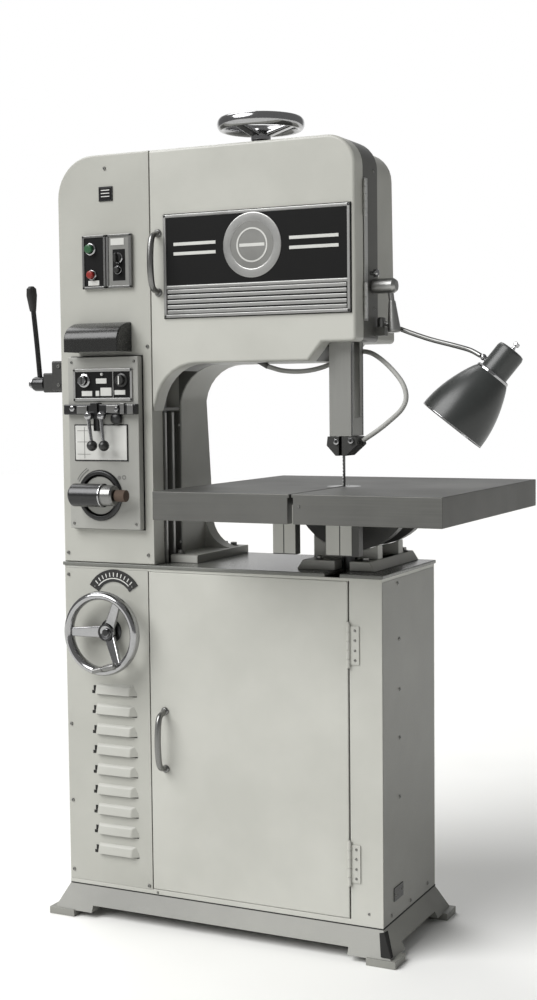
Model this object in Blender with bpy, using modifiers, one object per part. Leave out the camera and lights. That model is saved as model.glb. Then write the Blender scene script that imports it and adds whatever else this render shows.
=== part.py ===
"""Vertical contour band saw with butt welder, as separate sub-parts.

All sizes below are millimetres and the helpers turn them into metres. The machine datum is the
cabinet's front left corner at floor level: X runs right, Y runs back, Z runs up. The empty named
machine carries everything from that datum to the part's own frame, whose origin is the centre of
the machine's bounding box at the floor.
"""

import math

import bmesh
import bpy
from mathutils import Matrix, Vector

MM = 0.001
GAP = 0.3  # between pieces that touch

# Driving dimensions.
CABINET_WIDTH, CABINET_DEPTH = 680, 280
FLOOR_Z, LID_Z, LID_THICK = 60, 708, 7
SHEET = 2.5  # sheet metal of covers and doors
COLUMN_WIDTH = 207
HEAD_RIGHT, HEAD_TOP, HEAD_BOTTOM = 632, 1510, 1104
NOSE_BOTTOM = 1138  # the head's underside beside the guide post
DOOR_DEPTH, HOUSING_BACK = 39, 109
WHEEL_X, UPPER_Z, LOWER_Z, WHEEL_R = 393, 1307, 500, 190
WHEEL_Y = (46, 68)
BLADE_THICK, BLADE_Y = 0.9, (51, 63)
BLADE_STEPS = 22  # facets of the blade's half turn round a wheel
BLADE_X = WHEEL_X + WHEEL_R + BLADE_THICK / 2
TABLE_TOP, TABLE_THICK, TABLE_SIZE = 872, 52, 550
TABLE_LEFT, TABLE_FRONT = 310, -181
TRUNNION_R = 123
POST_X, POST_Y, POST_Z = (562, 606), (39.8, 100), (965, 1300)
SPEED_WHEEL = Vector((106, -35, 580.5))
TENSION_X, TENSION_Y = 401, 94
RIM_R, RIM_THICK, RIM_DEEP = 75, 8.5, 12.3  # handwheel rims: mean radius, and half widths of the section
CRANK = Vector((102, -56, 510))
MOTOR_X, MOTOR_Z = 130, 175
MOTOR_PULLEY_R, DRIVE_PULLEY_R, PULLEY_Y = 35, 90, (180, 200)
LAMP_MOUTH = Vector((792, 62.4, 984.4))
LAMP_AXIS = Vector((0.583, 0.2325, 0.7785)).normalized()
SHADE_LENGTH, SOCKET_LENGTH, SOCKET_R = 115, 57, 27

# Where the machine datum lies in the part's frame.
DATUM = Vector((-386.9, -94, 0)) * MM

BOX_X, BOX_Y, BOX_Z = Vector((1, 0, 0)), Vector((0, 1, 0)), Vector((0, 0, 1))


# --- Scene and helpers ------------------------------------------------------------------------

for old in list(bpy.data.objects):
    bpy.data.objects.remove(old, do_unlink=True)

saw = bpy.data.collections.new("band_saw")
bpy.context.scene.collection.children.link(saw)

machine = bpy.data.objects.new("machine", None)
machine.location = DATUM
saw.objects.link(machine)


def material(name, colour, roughness, metallic=0.0):
    made = bpy.data.materials.new(name)
    made.use_nodes = True
    shader = made.node_tree.nodes["Principled BSDF"]
    shader.inputs["Base Color"].default_value = (*colour, 1.0)
    shader.inputs["Roughness"].default_value = roughness
    shader.inputs["Metallic"].default_value = metallic
    return made


PAINT = material("grey_paint", (0.56, 0.56, 0.53), 0.45)
CAST = material("cast_grey", (0.20, 0.20, 0.20), 0.6)
GROUND = material("ground_iron", (0.42, 0.42, 0.41), 0.35, 0.9)
STEEL = material("steel", (0.62, 0.62, 0.62), 0.3, 1.0)
CHROME = material("chrome", (0.78, 0.78, 0.78), 0.12, 1.0)
BLACK = material("black_enamel", (0.03, 0.03, 0.03), 0.3)
RUBBER = material("rubber", (0.04, 0.04, 0.04), 0.8)
PLASTIC = material("dark_plastic", (0.05, 0.05, 0.05), 0.4)
RED = material("red_plastic", (0.45, 0.03, 0.02), 0.35)
GREEN = material("green_plastic", (0.03, 0.25, 0.08), 0.35)
ENAMEL = material("lamp_enamel", (0.10, 0.11, 0.10), 0.25)
GLASS = material("opal_glass", (0.9, 0.9, 0.86), 0.2)
STONE = material("abrasive", (0.30, 0.22, 0.18), 0.9)


def place(mesh_object, node, look, on=None):
    """Names a finished mesh, gives it its material and hangs it on a pivot or the machine."""
    mesh_object.name = node
    mesh_object.data.name = node
    mesh_object.data.materials.clear()
    mesh_object.data.materials.append(look)
    mesh_object.data.shade_smooth()
    mesh_object.data.set_sharp_from_angle(angle=math.radians(35))
    mesh_object.parent = machine
    if on is not None:
        mesh_object.parent = on
        mesh_object.matrix_parent_inverse = Matrix.Translation(-on.location)
    return mesh_object


def pivot(name, point):
    """An empty on a joint's axis."""
    empty = bpy.data.objects.new(name, None)
    empty.location = Vector(point) * MM
    empty.parent = machine
    saw.objects.link(empty)
    return empty


def link(mesh, name="piece"):
    made = bpy.data.objects.new(name, mesh)
    saw.objects.link(made)
    return made


def from_bmesh(work):
    mesh = bpy.data.meshes.new("piece")
    work.to_mesh(mesh)
    work.free()
    return link(mesh)


def bake(shape):
    """The object as its modifiers leave it, as a plain welded mesh."""
    view = bpy.context.evaluated_depsgraph_get()
    mesh = bpy.data.meshes.new_from_object(shape.evaluated_get(view))
    work = bmesh.new()
    work.from_mesh(mesh)
    bmesh.ops.remove_doubles(work, verts=work.verts, dist=1e-6)
    work.to_mesh(mesh)
    work.free()
    made = link(mesh)
    made.matrix_world = shape.matrix_world
    bpy.data.objects.remove(shape, do_unlink=True)
    return made


def combine(target, others, operation):
    """One Boolean of the target with each of the others in turn, which are used up."""
    for other in others:
        step = target.modifiers.new("combine", "BOOLEAN")
        step.operation = operation
        step.object = other
        joined = bake(target)
        bpy.data.objects.remove(other, do_unlink=True)
        target = joined
    return target


def cut(target, *cutters):
    return combine(target, cutters, "DIFFERENCE")


def join(target, *others):
    return combine(target, others, "UNION")


def soften(shape, width, segments=2):
    """Rounded edges, for a piece that is still a plain solid."""
    edge = shape.modifiers.new("soften", "BEVEL")
    edge.width = width * MM
    edge.segments = segments
    edge.limit_method = "ANGLE"
    edge.angle_limit = math.radians(40)
    return bake(shape)


def box(x, y, z, round_by=0):
    """A block between pairs of X, Y and Z."""
    work = bmesh.new()
    bmesh.ops.create_cube(work, size=1)
    size = Vector((x[1] - x[0], y[1] - y[0], z[1] - z[0])) * MM
    middle = Vector((x[0] + x[1], y[0] + y[1], z[0] + z[1])) * MM / 2
    bmesh.ops.scale(work, vec=size, verts=work.verts)
    bmesh.ops.translate(work, vec=middle, verts=work.verts)
    made = from_bmesh(work)
    return soften(made, round_by) if round_by else made


def rod(start, end, radius, sides=24, end_radius=None):
    """A cylinder, or a cone, between two points."""
    start, end = Vector(start), Vector(end)
    along = end - start
    work = bmesh.new()
    bmesh.ops.create_cone(
        work,
        cap_ends=True,
        segments=sides,
        radius1=radius * MM,
        radius2=(radius if end_radius is None else end_radius) * MM,
        depth=along.length * MM,
    )
    turn = BOX_Z.rotation_difference(along).to_matrix().to_4x4()
    bmesh.ops.transform(work, matrix=Matrix.Translation((start + end) * MM / 2) @ turn, verts=work.verts)
    return from_bmesh(work)


def ball(centre, radius, sides=12):
    work = bmesh.new()
    bmesh.ops.create_uvsphere(work, u_segments=sides, v_segments=sides // 2, radius=radius * MM)
    bmesh.ops.translate(work, vec=Vector(centre) * MM, verts=work.verts)
    return from_bmesh(work)


def ring(centre, axis, major, minor, deep, sides=28, tube_sides=8):
    """A torus about an axis, stretched along it so that its section is deep each way."""
    bpy.ops.mesh.primitive_torus_add(
        major_radius=major * MM, minor_radius=minor * MM, major_segments=sides, minor_segments=tube_sides
    )
    made = bpy.context.object
    for home in list(made.users_collection):
        home.objects.unlink(made)
    saw.objects.link(made)
    turn = BOX_Z.rotation_difference(Vector(axis)).to_matrix().to_4x4()
    stretch = Matrix.Diagonal((1, 1, deep / minor, 1))
    made.data.transform(Matrix.Translation(Vector(centre) * MM) @ turn @ stretch)
    made.matrix_world = Matrix.Identity(4)
    return made


def extrude(points, low, high, out):
    """A flat outline given in two axes and pushed along the third, out, from low to high."""
    flat = bpy.data.curves.new("outline", "CURVE")
    flat.dimensions = "2D"
    flat.fill_mode = "BOTH"
    flat.extrude = (high - low) * MM / 2
    line = flat.splines.new("POLY")
    line.points.add(len(points) - 1)
    for corner, point in zip(points, line.points):
        point.co = (corner[0] * MM, corner[1] * MM, 0, 1)
    line.use_cyclic_u = True
    made = bpy.data.objects.new("outline", flat)
    saw.objects.link(made)
    middle = (low + high) * MM / 2
    frames = {
        "X": Matrix(((0, 0, 1, middle), (1, 0, 0, 0), (0, 1, 0, 0), (0, 0, 0, 1))),
        "Y": Matrix(((1, 0, 0, 0), (0, 0, -1, middle), (0, 1, 0, 0), (0, 0, 0, 1))),
        "Z": Matrix(((1, 0, 0, 0), (0, 1, 0, 0), (0, 0, 1, middle), (0, 0, 0, 1))),
    }
    bpy.context.view_layer.update()
    solid = bake(made)
    solid.data.transform(frames[out])
    work = bmesh.new()
    work.from_mesh(solid.data)
    bmesh.ops.recalc_face_normals(work, faces=work.faces)
    work.to_mesh(solid.data)
    work.free()
    return solid


def pan(points, front, back, wall=SHEET):
    """A tray in the XZ plane: a face at front and walls from there to back, where it is open."""
    work = bmesh.new()
    corners = [work.verts.new((x * MM, front * MM, z * MM)) for x, z in points]
    face = work.faces.new(corners)
    walls = bmesh.ops.extrude_edge_only(work, edges=list(face.edges))
    moved = [v for v in walls["geom"] if isinstance(v, bmesh.types.BMVert)]
    bmesh.ops.translate(work, vec=BOX_Y * (back - front) * MM, verts=moved)
    bmesh.ops.recalc_face_normals(work, faces=work.faces)
    face.normal_update()
    if face.normal.y * (back - front) > 0:
        bmesh.ops.reverse_faces(work, faces=work.faces)
    made = from_bmesh(work)
    thick = made.modifiers.new("sheet", "SOLIDIFY")
    thick.thickness = wall * MM
    thick.offset = -1
    thick.use_even_offset = True
    return bake(made)


def turned(profile, foot, axis, sides=32):
    """A body of revolution: (radius, height) pairs from top to bottom, about an axis at foot."""
    work = bmesh.new()
    line = [work.verts.new((r * MM, 0, h * MM)) for r, h in profile]
    for upper, lower in zip(line, line[1:] + line[:1]):
        work.edges.new((upper, lower))
    made = from_bmesh(work)
    spin = made.modifiers.new("turn", "SCREW")
    spin.steps = sides
    spin.render_steps = sides
    spin.use_merge_vertices = True
    spin.merge_threshold = 1e-6
    made = bake(made)
    turn = BOX_Z.rotation_difference(Vector(axis)).to_matrix().to_4x4()
    made.data.transform(Matrix.Translation(Vector(foot) * MM) @ turn)
    work = bmesh.new()
    work.from_mesh(made.data)
    bmesh.ops.recalc_face_normals(work, faces=work.faces)
    work.to_mesh(made.data)
    work.free()
    return made


def tube(points, radius, resolution=2):
    """A round wire through points, with closed ends."""
    wire = bpy.data.curves.new("wire", "CURVE")
    wire.dimensions = "3D"
    wire.bevel_depth = radius * MM
    wire.bevel_resolution = resolution
    wire.use_fill_caps = True
    line = wire.splines.new("POLY")
    line.points.add(len(points) - 1)
    for corner, point in zip(points, line.points):
        point.co = (*(Vector(corner) * MM), 1)
    made = bpy.data.objects.new("wire", wire)
    saw.objects.link(made)
    return bake(made)


def arc(centre, radius, start, end, steps):
    """Points on an arc, in degrees counter-clockwise from the first axis."""
    turns = [math.radians(start + (end - start) * n / steps) for n in range(steps + 1)]
    return [(centre[0] + radius * math.cos(a), centre[1] + radius * math.sin(a)) for a in turns]


def smooth(route, count):
    """Evenly spaced points on a Catmull-Rom curve through a route."""
    ends = [Vector(p) for p in route]
    ends = [ends[0] * 2 - ends[1], *ends, ends[-1] * 2 - ends[-2]]
    spans = len(route) - 1
    points = []
    for n in range(count + 1):
        along = n * spans / count
        k = min(int(along), spans - 1)
        t = along - k
        a, b, c, d = ends[k : k + 4]
        points.append(
            (b * 2 + (c - a) * t + (a * 2 - b * 5 + c * 4 - d) * t**2 + (b * 3 - a - c * 3 + d) * t**3) / 2
        )
    return points


# --- Base and cabinet -------------------------------------------------------------------------


def base_plinth():
    """Cast plinth that spreads towards the floor, hollow below, with a pad at each corner."""
    spread, pad, pad_high = 24, 58, 12
    body = box((0, CABINET_WIDTH), (0, CABINET_DEPTH), (pad_high, FLOOR_Z))
    for v in body.data.vertices:
        if v.co.z < FLOOR_Z * MM / 2:
            v.co.x += math.copysign(spread * MM, v.co.x - CABINET_WIDTH * MM / 2)
            v.co.y += math.copysign(spread * MM, v.co.y - CABINET_DEPTH * MM / 2)
    arch = 25
    body = cut(
        body,
        box((14, CABINET_WIDTH - 14), (14, CABINET_DEPTH - 14), (0, FLOOR_Z - 8)),
        box((63, CABINET_WIDTH - 63), (-60, CABINET_DEPTH + 60), (0, arch)),
        box((-60, CABINET_WIDTH + 60), (50, CABINET_DEPTH - 50), (0, arch)),
    )
    reach = 34
    for x in ((-reach, pad - reach), (CABINET_WIDTH + reach - pad, CABINET_WIDTH + reach)):
        for y in ((-reach + 6, pad - reach), (CABINET_DEPTH + reach - pad, CABINET_DEPTH + reach - 6)):
            body = join(body, box(x, y, (0, pad_high + 2)))
    return place(body, "base_plinth", CAST)


def cabinet():
    """Folded sheet cabinet, open at the top and, behind the panel and the door, at the front."""
    low = FLOOR_Z + GAP
    shell = cut(
        box((0, CABINET_WIDTH), (0, CABINET_DEPTH), (low, LID_Z - GAP)),
        box((SHEET, CABINET_WIDTH - SHEET), (SHEET, CABINET_DEPTH - SHEET), (low + SHEET, LID_Z + 20)),
        box((-10, 192), (-10, SHEET + 1), (70 - GAP, 703 + GAP)),
        box((180, 616), (-10, 20), (72 - GAP, 702 + GAP)),
    )
    place(shell, "cabinet_shell", PAINT)
    lid = cut(
        box((-3, CABINET_WIDTH + 3), (-3, CABINET_DEPTH + 3), (LID_Z, LID_Z + LID_THICK)),
        box((BLADE_X - 15, BLADE_X + 15), (-20, 75), (LID_Z - 10, LID_Z + 20)),
        box((20, COLUMN_WIDTH + 2), (20, 106), (LID_Z - 10, LID_Z + 20)),
    )
    return place(lid, "cabinet_lid", PAINT)


def service_panel():
    """Left front panel with nine louvres and the hole for the speed shaft."""
    panel = box((GAP, 192 - GAP), (0, SHEET), (70, 703))
    for n in range(9):
        low = 131 + 40.4 * n
        hood = extrude([(-9, low), (0.5, low), (0.5, low + 22), (-1, low + 20)], 62, 165, "X")
        slot = box((66, 161), (-6, 5), (low - 1, low + 6))
        panel = cut(join(panel, hood), slot)
    hole = rod((SPEED_WHEEL.x, -10, SPEED_WHEEL.z), (SPEED_WHEEL.x, 10, SPEED_WHEEL.z), 10)
    return place(cut(panel, hole), "service_panel", PAINT)


def rectangle(x, z):
    return [(x[0], z[0]), (x[1], z[0]), (x[1], z[1]), (x[0], z[1])]


def bow_handle(x, low, high, reach):
    """Bow pull whose two round feet stop just short of the door."""
    route = [(x, -4, low), (x, -reach * 0.8, low + 10), (x, -reach, low + 40)]
    route += [(x, -reach, high - 40), (x, -reach * 0.8, high - 10), (x, -4, high)]
    feet = [rod((x, -GAP, z), (x, -9, z), 6.5, 12) for z in (low, high)]
    return join(tube(smooth(route, 12), 5), *feet)


def lower_door():
    hinge = pivot("lower_door_axis", (615, -4, 0))
    door = pan(rectangle((193, 613), (72, 702)), 0, 17)
    place(door, "lower_door", PAINT, hinge)
    place(bow_handle(226, 316, 430, 30), "lower_handle", CHROME, hinge)
    for node, low, high in (("lower_hinge_top", 543, 626), ("lower_hinge_bottom", 136, 219)):
        leaf = box((617.5, 636), (-2.6, -GAP), (low + 8, high - 8))
        knuckle = rod((615, -4, low), (615, -4, high), 3.7, 16)
        place(join(knuckle, leaf), node, STEEL)


# --- Column and head --------------------------------------------------------------------------


def head_outline(left, right, top, shrink=0.0):
    """The head seen from the front: throat corner, arm, raised nose and rounded far corner."""
    corner, nose, far = 90 + shrink, 8 - shrink, 55 - shrink
    bottom = HEAD_BOTTOM + shrink
    points = [(left, bottom - corner)] if left < 214 else []
    points += arc((left + corner, bottom - corner), corner, 180, 90, 8)[1:]
    points += [(537, bottom), (565, NOSE_BOTTOM + shrink)]
    points += arc((right - nose, NOSE_BOTTOM + shrink + nose), nose, -90, 0, 3)
    points += arc((right - far, top - far), far, 0, 90, 8)
    points += [(left, top)]
    return points


def column_cover():
    """Sheet cover of the column: front, left side and top, with a round top corner."""
    low, radius = LID_Z + LID_THICK + GAP, 80
    outline = [(0, low), (COLUMN_WIDTH, low), (COLUMN_WIDTH, HEAD_TOP)]
    outline += arc((radius, HEAD_TOP - radius), radius, 90, 180, 10)
    cover = pan(outline, 0, HOUSING_BACK)
    cover = cut(
        cover,
        box((186, COLUMN_WIDTH + 10), (40.5, 130), (low - 10, HEAD_TOP - 12)),
        box((COLUMN_WIDTH - 6, COLUMN_WIDTH + 10), (SHEET + 4, 130), (1020, HEAD_TOP - 12)),
        box((40, 180), (SHEET + 20, 130), (low - 10, low + 10)),
    )
    return place(cover, "column_cover", PAINT)


def blade_channel():
    """Guard channel for the blade's return run, open towards the throat."""
    low = LID_Z + LID_THICK + GAP
    channel = box((187, 209), (41, 108.5), (low, 1012))
    channel = cut(
        channel,
        box((191, 230), (45, 71), (low - 5, 1020)),
        box((200, 230), (81, 105), (low - 5, 1020)),
    )
    return place(channel, "blade_channel", CAST)


def column_casting():
    """C-shaped frame casting behind the covers, its back sloping in, with a bolted foot."""
    low, front = LID_Z + LID_THICK + GAP, HOUSING_BACK + 0.6
    outline = [(20, low), (209, low), *head_outline(209, 626, 1500)[1:-1], (20, 1500)]
    casting = extrude(outline, front, 260, "Y")
    side = [(front - 5, low - 1), (243, low - 1), (243, 775), (210, 1092), (196, 1510), (front - 5, 1510)]
    casting = combine(casting, [extrude(side, 0, 700, "X")], "INTERSECT")
    foot = box((150, 271), (58, 279), (low, 731))
    foot = cut(foot, box((100, 212), (40, front), (low - 5, 740)))
    fillet = [(200, 725), (271, 725), (271, 731), *arc((275, 795), 64, 266, 180, 8), (200, 795)]
    return place(join(casting, foot, extrude(fillet, 205, 238, "Y")), "column_casting", CAST)


def wheel_housing():
    """Housing of the upper wheel, with the slide rails, the post's way out, the lamp's lug and the hose's nipple."""
    left = COLUMN_WIDTH + GAP
    inside = head_outline(left + SHEET, HEAD_RIGHT - SHEET, HEAD_TOP - SHEET, SHEET)
    inside[0] = (left + SHEET + 0.2, 1020)
    inside[-1] = (left - 10, HEAD_TOP - SHEET)
    inside.append((left - 10, 1020))
    shell = cut(
        extrude(head_outline(left, HEAD_RIGHT, HEAD_TOP), DOOR_DEPTH, HOUSING_BACK, "Y"),
        extrude(inside, DOOR_DEPTH - 10, HOUSING_BACK - SHEET, "Y"),
        box((POST_X[0] - 4, POST_X[1] + 4), (30, POST_Y[1] + 1.5), (NOSE_BOTTOM - 40, NOSE_BOTTOM + 10)),
        rod((TENSION_X, TENSION_Y, HEAD_TOP - 20), (TENSION_X, TENSION_Y, HEAD_TOP + 20), 9.5),
        rod((600, 80, 1240), (650, 80, 1240), 7),
    )
    for x in ((350, 364.5), (425.5, 440)):
        shell = join(shell, box(x, (74, 108), (1240, 1440)))
    shell = join(shell, box((HEAD_RIGHT - 1, 652), (92, 108), (1150, 1166)))
    shell = join(shell, rod((398, 75, 1109), (420, 75, 1097), 5.5, 12))
    return place(shell, "wheel_housing", PAINT)


def upper_door():
    """Door of the upper wheel, its name plate and handle, and the strip hinge it turns on."""
    hinge = pivot("upper_door_axis", (636.5, DOOR_DEPTH, 0))
    outline = head_outline(214, HEAD_RIGHT, HEAD_TOP)
    outline[-1] = (COLUMN_WIDTH + 2.6, HEAD_TOP)
    outline.insert(0, (COLUMN_WIDTH + 2.6, HEAD_BOTTOM - 90))
    place(pan(outline, 0, DOOR_DEPTH - GAP), "upper_door", PAINT, hinge)
    plate = soften(box((240, 624), (-5, -GAP), (1191, 1385)), 1)
    place(plate, "name_plate", CHROME, hinge)
    place(bow_handle(226, 1240, 1352, 30), "upper_handle", CHROME, hinge)
    leaf = box((HEAD_RIGHT + GAP, 634.5), (41, 56), (1180, 1430))
    for low, high in ((1180, 1245), (1365, 1430)):
        knuckle = rod((636.5, DOOR_DEPTH, low), (636.5, DOOR_DEPTH, high), 3.9, 16)
        web = box((633, 636), (DOOR_DEPTH, 46), (low, high))
        leaf = join(leaf, knuckle, web)
    return place(leaf, "upper_hinge", STEEL)


# --- Band wheels, blade and drive -------------------------------------------------------------


def band_wheel(z, bore):
    """Wheel about Y: rim, thin web with five holes and a hub."""
    front, back = WHEEL_Y
    half = (back - front) / 2
    profile = [
        (bore, half + 2), (30, half + 2), (30, 4), (160, 4), (166, half), (185.7, half),
        (185.7, -half), (166, -half), (160, -4), (30, -4), (30, -half - 2), (bore, -half - 2),
    ]
    wheel = turned(profile, (WHEEL_X, (front + back) / 2, z), BOX_Y, 32)
    for n in range(5):
        x, h = arc((WHEEL_X, z), 98, 72 * n, 72 * n, 1)[0]
        wheel = cut(wheel, rod((x, front, h), (x, back, h), 32, 12))
    return wheel


def tyre(z):
    front, back = WHEEL_Y
    half = (back - front) / 2
    flat = WHEEL_R * math.cos(math.pi / 2 / BLADE_STEPS)  # nearest the blade's faceted bend comes
    profile = [(186, half), (flat - GAP, half), (flat - GAP, -half), (186, -half)]
    return turned(profile, (WHEEL_X, (front + back) / 2, z), BOX_Y, 32)


def upper_wheel():
    """Upper wheel on the axle of a block that the tension screw draws up and down."""
    slide = pivot("tension_slide_axis", (WHEEL_X, 89, UPPER_Z))
    block = box((365, 425), (74, 104), (1280, 1400))
    axle = rod((WHEEL_X, 40, UPPER_Z), (WHEEL_X, 80, UPPER_Z), 12)
    bore = rod((TENSION_X, TENSION_Y, 1330), (TENSION_X, TENSION_Y, 1410), 8.6)
    place(cut(join(block, axle), bore), "tension_slide", CAST, slide)
    spin = pivot("upper_wheel_axis", (WHEEL_X, 57, UPPER_Z))
    place(band_wheel(UPPER_Z, 12.4), "upper_wheel", CAST, spin)
    place(tyre(UPPER_Z), "upper_tyre", RUBBER, spin)


def lower_wheel():
    """Lower wheel, its shaft and the driven pulley behind the bearing pedestal."""
    spin = pivot("lower_wheel_axis", (WHEEL_X, 57, LOWER_Z))
    wheel = band_wheel(LOWER_Z, 11.5)
    shaft = rod((WHEEL_X, 42, LOWER_Z), (WHEEL_X, 215, LOWER_Z), 12)
    pulley = pulley_disc(WHEEL_X, LOWER_Z, DRIVE_PULLEY_R)
    place(join(wheel, shaft, pulley), "lower_wheel", CAST, spin)
    place(tyre(LOWER_Z), "lower_tyre", RUBBER, spin)
    pedestal = box((353, 433), (90, 160), (FLOOR_Z + SHEET + 2 * GAP, 90))
    pedestal = join(pedestal, box((368, 418), (100, 150), (80, 540)))
    bore = rod((WHEEL_X, 80, LOWER_Z), (WHEEL_X, 170, LOWER_Z), 12.4)
    return place(cut(pedestal, bore), "bearing_pedestal", CAST)


def pulley_disc(x, z, radius):
    """Flanged pulley; a flange hides the belt's edge."""
    half, middle = (PULLEY_Y[1] - PULLEY_Y[0]) / 2, sum(PULLEY_Y) / 2
    flange = radius + 5
    profile = [(8, half), (flange, half), (radius, half - 3), (radius, 3 - half), (flange, -half), (8, -half)]
    return turned(profile, (x, middle, z), BOX_Y, 28)


def motor_drive():
    """Motor on the cabinet floor, its pulley and the belt up to the lower wheel."""
    floor = FLOOR_Z + SHEET + 2 * GAP
    motor = rod((MOTOR_X, 45, MOTOR_Z), (MOTOR_X, 172, MOTOR_Z), 72, 28)
    shaft = rod((MOTOR_X, 150, MOTOR_Z), (MOTOR_X, 203, MOTOR_Z), 7.6, 16)
    feet = box((MOTOR_X - 70, MOTOR_X + 70), (60, 160), (floor, 112))
    place(join(motor, shaft, feet), "drive_motor", CAST)
    spin = pivot("motor_axis", (MOTOR_X, sum(PULLEY_Y) / 2, MOTOR_Z))
    place(pulley_disc(MOTOR_X, MOTOR_Z, MOTOR_PULLEY_R), "motor_pulley", STEEL, spin)
    belt = cut(belt_loop(8, (186, 194)), belt_loop(0.8, (180, 200)))
    return place(belt, "drive_belt", RUBBER)


def belt_loop(grow, y):
    """The outline around both pulleys, grown outwards, as a slab."""
    big, small = Vector((WHEEL_X, LOWER_Z)), Vector((MOTOR_X, MOTOR_Z))
    run = small - big
    heading = math.degrees(math.atan2(run.y, run.x))
    lean = math.degrees(math.acos((DRIVE_PULLEY_R - MOTOR_PULLEY_R) / run.length))
    points = arc(big, DRIVE_PULLEY_R + grow, heading + lean, heading + 360 - lean, 20)
    points += arc(small, MOTOR_PULLEY_R + grow, heading - lean, heading + lean, 10)
    return extrude(points, *y, "Y")


def blade():
    """Endless blade round both wheels."""

    def loop(radius, y):
        points = arc((WHEEL_X, UPPER_Z), radius, 0, 180, BLADE_STEPS)
        points += arc((WHEEL_X, LOWER_Z), radius, 180, 360, BLADE_STEPS)
        return extrude(points, *y, "Y")

    band = cut(loop(WHEEL_R + BLADE_THICK, BLADE_Y), loop(WHEEL_R, (40, 80)))
    return place(band, "blade", STEEL)


def handwheel(centre, axis, spokes, dish, hub_half):
    """Oval rim, spokes that lean by dish, and hub, about an axis that points at the user."""
    axis = Vector(axis)
    centre = Vector(centre)
    side = axis.orthogonal().normalized() if abs(axis.z) > 0.5 else Vector((1, 0, 0))
    wheel = ring(centre, axis, RIM_R, RIM_THICK, RIM_DEEP)
    hub = centre - axis * dish
    for degrees in spokes:
        out = Matrix.Rotation(math.radians(degrees), 3, axis) @ side
        spoke = rod(hub + out * 8, centre + out * RIM_R, 6.5, 10, 5)
        wheel = join(wheel, spoke)
    return join(wheel, rod(hub - axis * hub_half, hub + axis * hub_half, 17, 20))


def tension_handwheel():
    top = pivot("tension_axis", (TENSION_X, TENSION_Y, HEAD_TOP))
    wheel = handwheel((TENSION_X, TENSION_Y, 1556), BOX_Z, (10, 130, 250), 20, 12)
    screw = rod((TENSION_X, TENSION_Y, 1345), (TENSION_X, TENSION_Y, 1530), 8)
    return place(join(wheel, screw), "tension_handwheel", CHROME, top)


def speed_handwheel():
    """Speed wheel on the left panel, its folding crank, and the gearbox it drives."""
    spin = pivot("speed_axis", SPEED_WHEEL)
    wheel = handwheel(SPEED_WHEEL, -BOX_Y, (180, 60, -60), 21, 8)
    shaft = rod((SPEED_WHEEL.x, -16, SPEED_WHEEL.z), (SPEED_WHEEL.x, 29, SPEED_WHEEL.z), 9, 20)
    lug = rod(CRANK + BOX_Y * 16, CRANK + BOX_Y * 5.8, 5, 12)
    place(join(wheel, shaft, lug), "speed_handwheel", CHROME, spin)
    fold = pivot("crank_axis", CRANK)
    along = Vector((math.cos(math.radians(15)), 0, math.sin(math.radians(15))))
    grip = rod(CRANK - along * 2, CRANK + along * 20, 5, 16)
    grip = join(grip, rod(CRANK + along * 16, CRANK + along * 49, 5.5, 16, 6.8))
    place(grip, "speed_crank", BLACK, fold)
    return place(box((70, 170), (30, 120), (533, 633), 4), "speed_gearbox", CAST)


# --- Table, trunnion and guides ---------------------------------------------------------------


def table():
    tilt = pivot("table_axis", (BLADE_X, 94, TABLE_TOP))
    x = (TABLE_LEFT, TABLE_LEFT + TABLE_SIZE)
    y = (TABLE_FRONT, TABLE_FRONT + TABLE_SIZE)
    low = TABLE_TOP - TABLE_THICK
    rim, plate = 20, 20
    middle_y = sum(BLADE_Y) / 2
    top = cut(
        box(x, y, (low, TABLE_TOP)),
        box((x[0] + rim, x[1] - rim), (y[0] + rim, y[1] - rim), (low - 5, TABLE_TOP - plate)),
        rod((BLADE_X, middle_y, low), (BLADE_X, middle_y, TABLE_TOP + 5), 28, 32),
        rod((BLADE_X, middle_y, TABLE_TOP - 4 - GAP), (BLADE_X, middle_y, TABLE_TOP + 5), 32, 32),
        box((BLADE_X - 2, BLADE_X + 2), (y[0] - 10, middle_y - 20), (low - 5, TABLE_TOP + 5)),
        box((BLADE_X - 5, BLADE_X + 5), (y[0] - 10, y[0] + rim + 5), (low - 5, TABLE_TOP - 6)),
    )
    place(top, "table", GROUND, tilt)
    insert = rod((BLADE_X, middle_y, TABLE_TOP - 4), (BLADE_X, middle_y, TABLE_TOP), 32 - GAP, 32)
    insert = cut(insert, box((BLADE_X - 6, BLADE_X + 6), (0, BLADE_Y[1] + 4), (TABLE_TOP - 10, TABLE_TOP + 5)))
    place(insert, "table_insert", STEEL, tilt)
    return place(trunnion(TABLE_TOP - plate - GAP), "trunnion", CAST, tilt)


def trunnion(top):
    """Two round segments centred on the blade at the table top, with the two bearing ribs."""
    lean = math.degrees(math.asin((TABLE_TOP - top + 2) / TRUNNION_R))
    centre = (BLADE_X, TABLE_TOP)
    half_disc = arc(centre, TRUNNION_R, 180 + lean, 360 - lean, 24)
    casting = extrude(half_disc, 92, 118, "Y")
    casting = join(casting, extrude(half_disc, 200, 226, "Y"))
    casting = join(casting, box((470, 500), (5, 215), (top - 18, top)))
    casting = join(casting, box((624, 638), (5, 215), (top - 18, top)))
    casting = join(casting, box((463, 510), (0, 20), (747, top - 1)))
    return join(casting, box((570, 636), (0, 20), (747, top - 1)))


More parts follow.
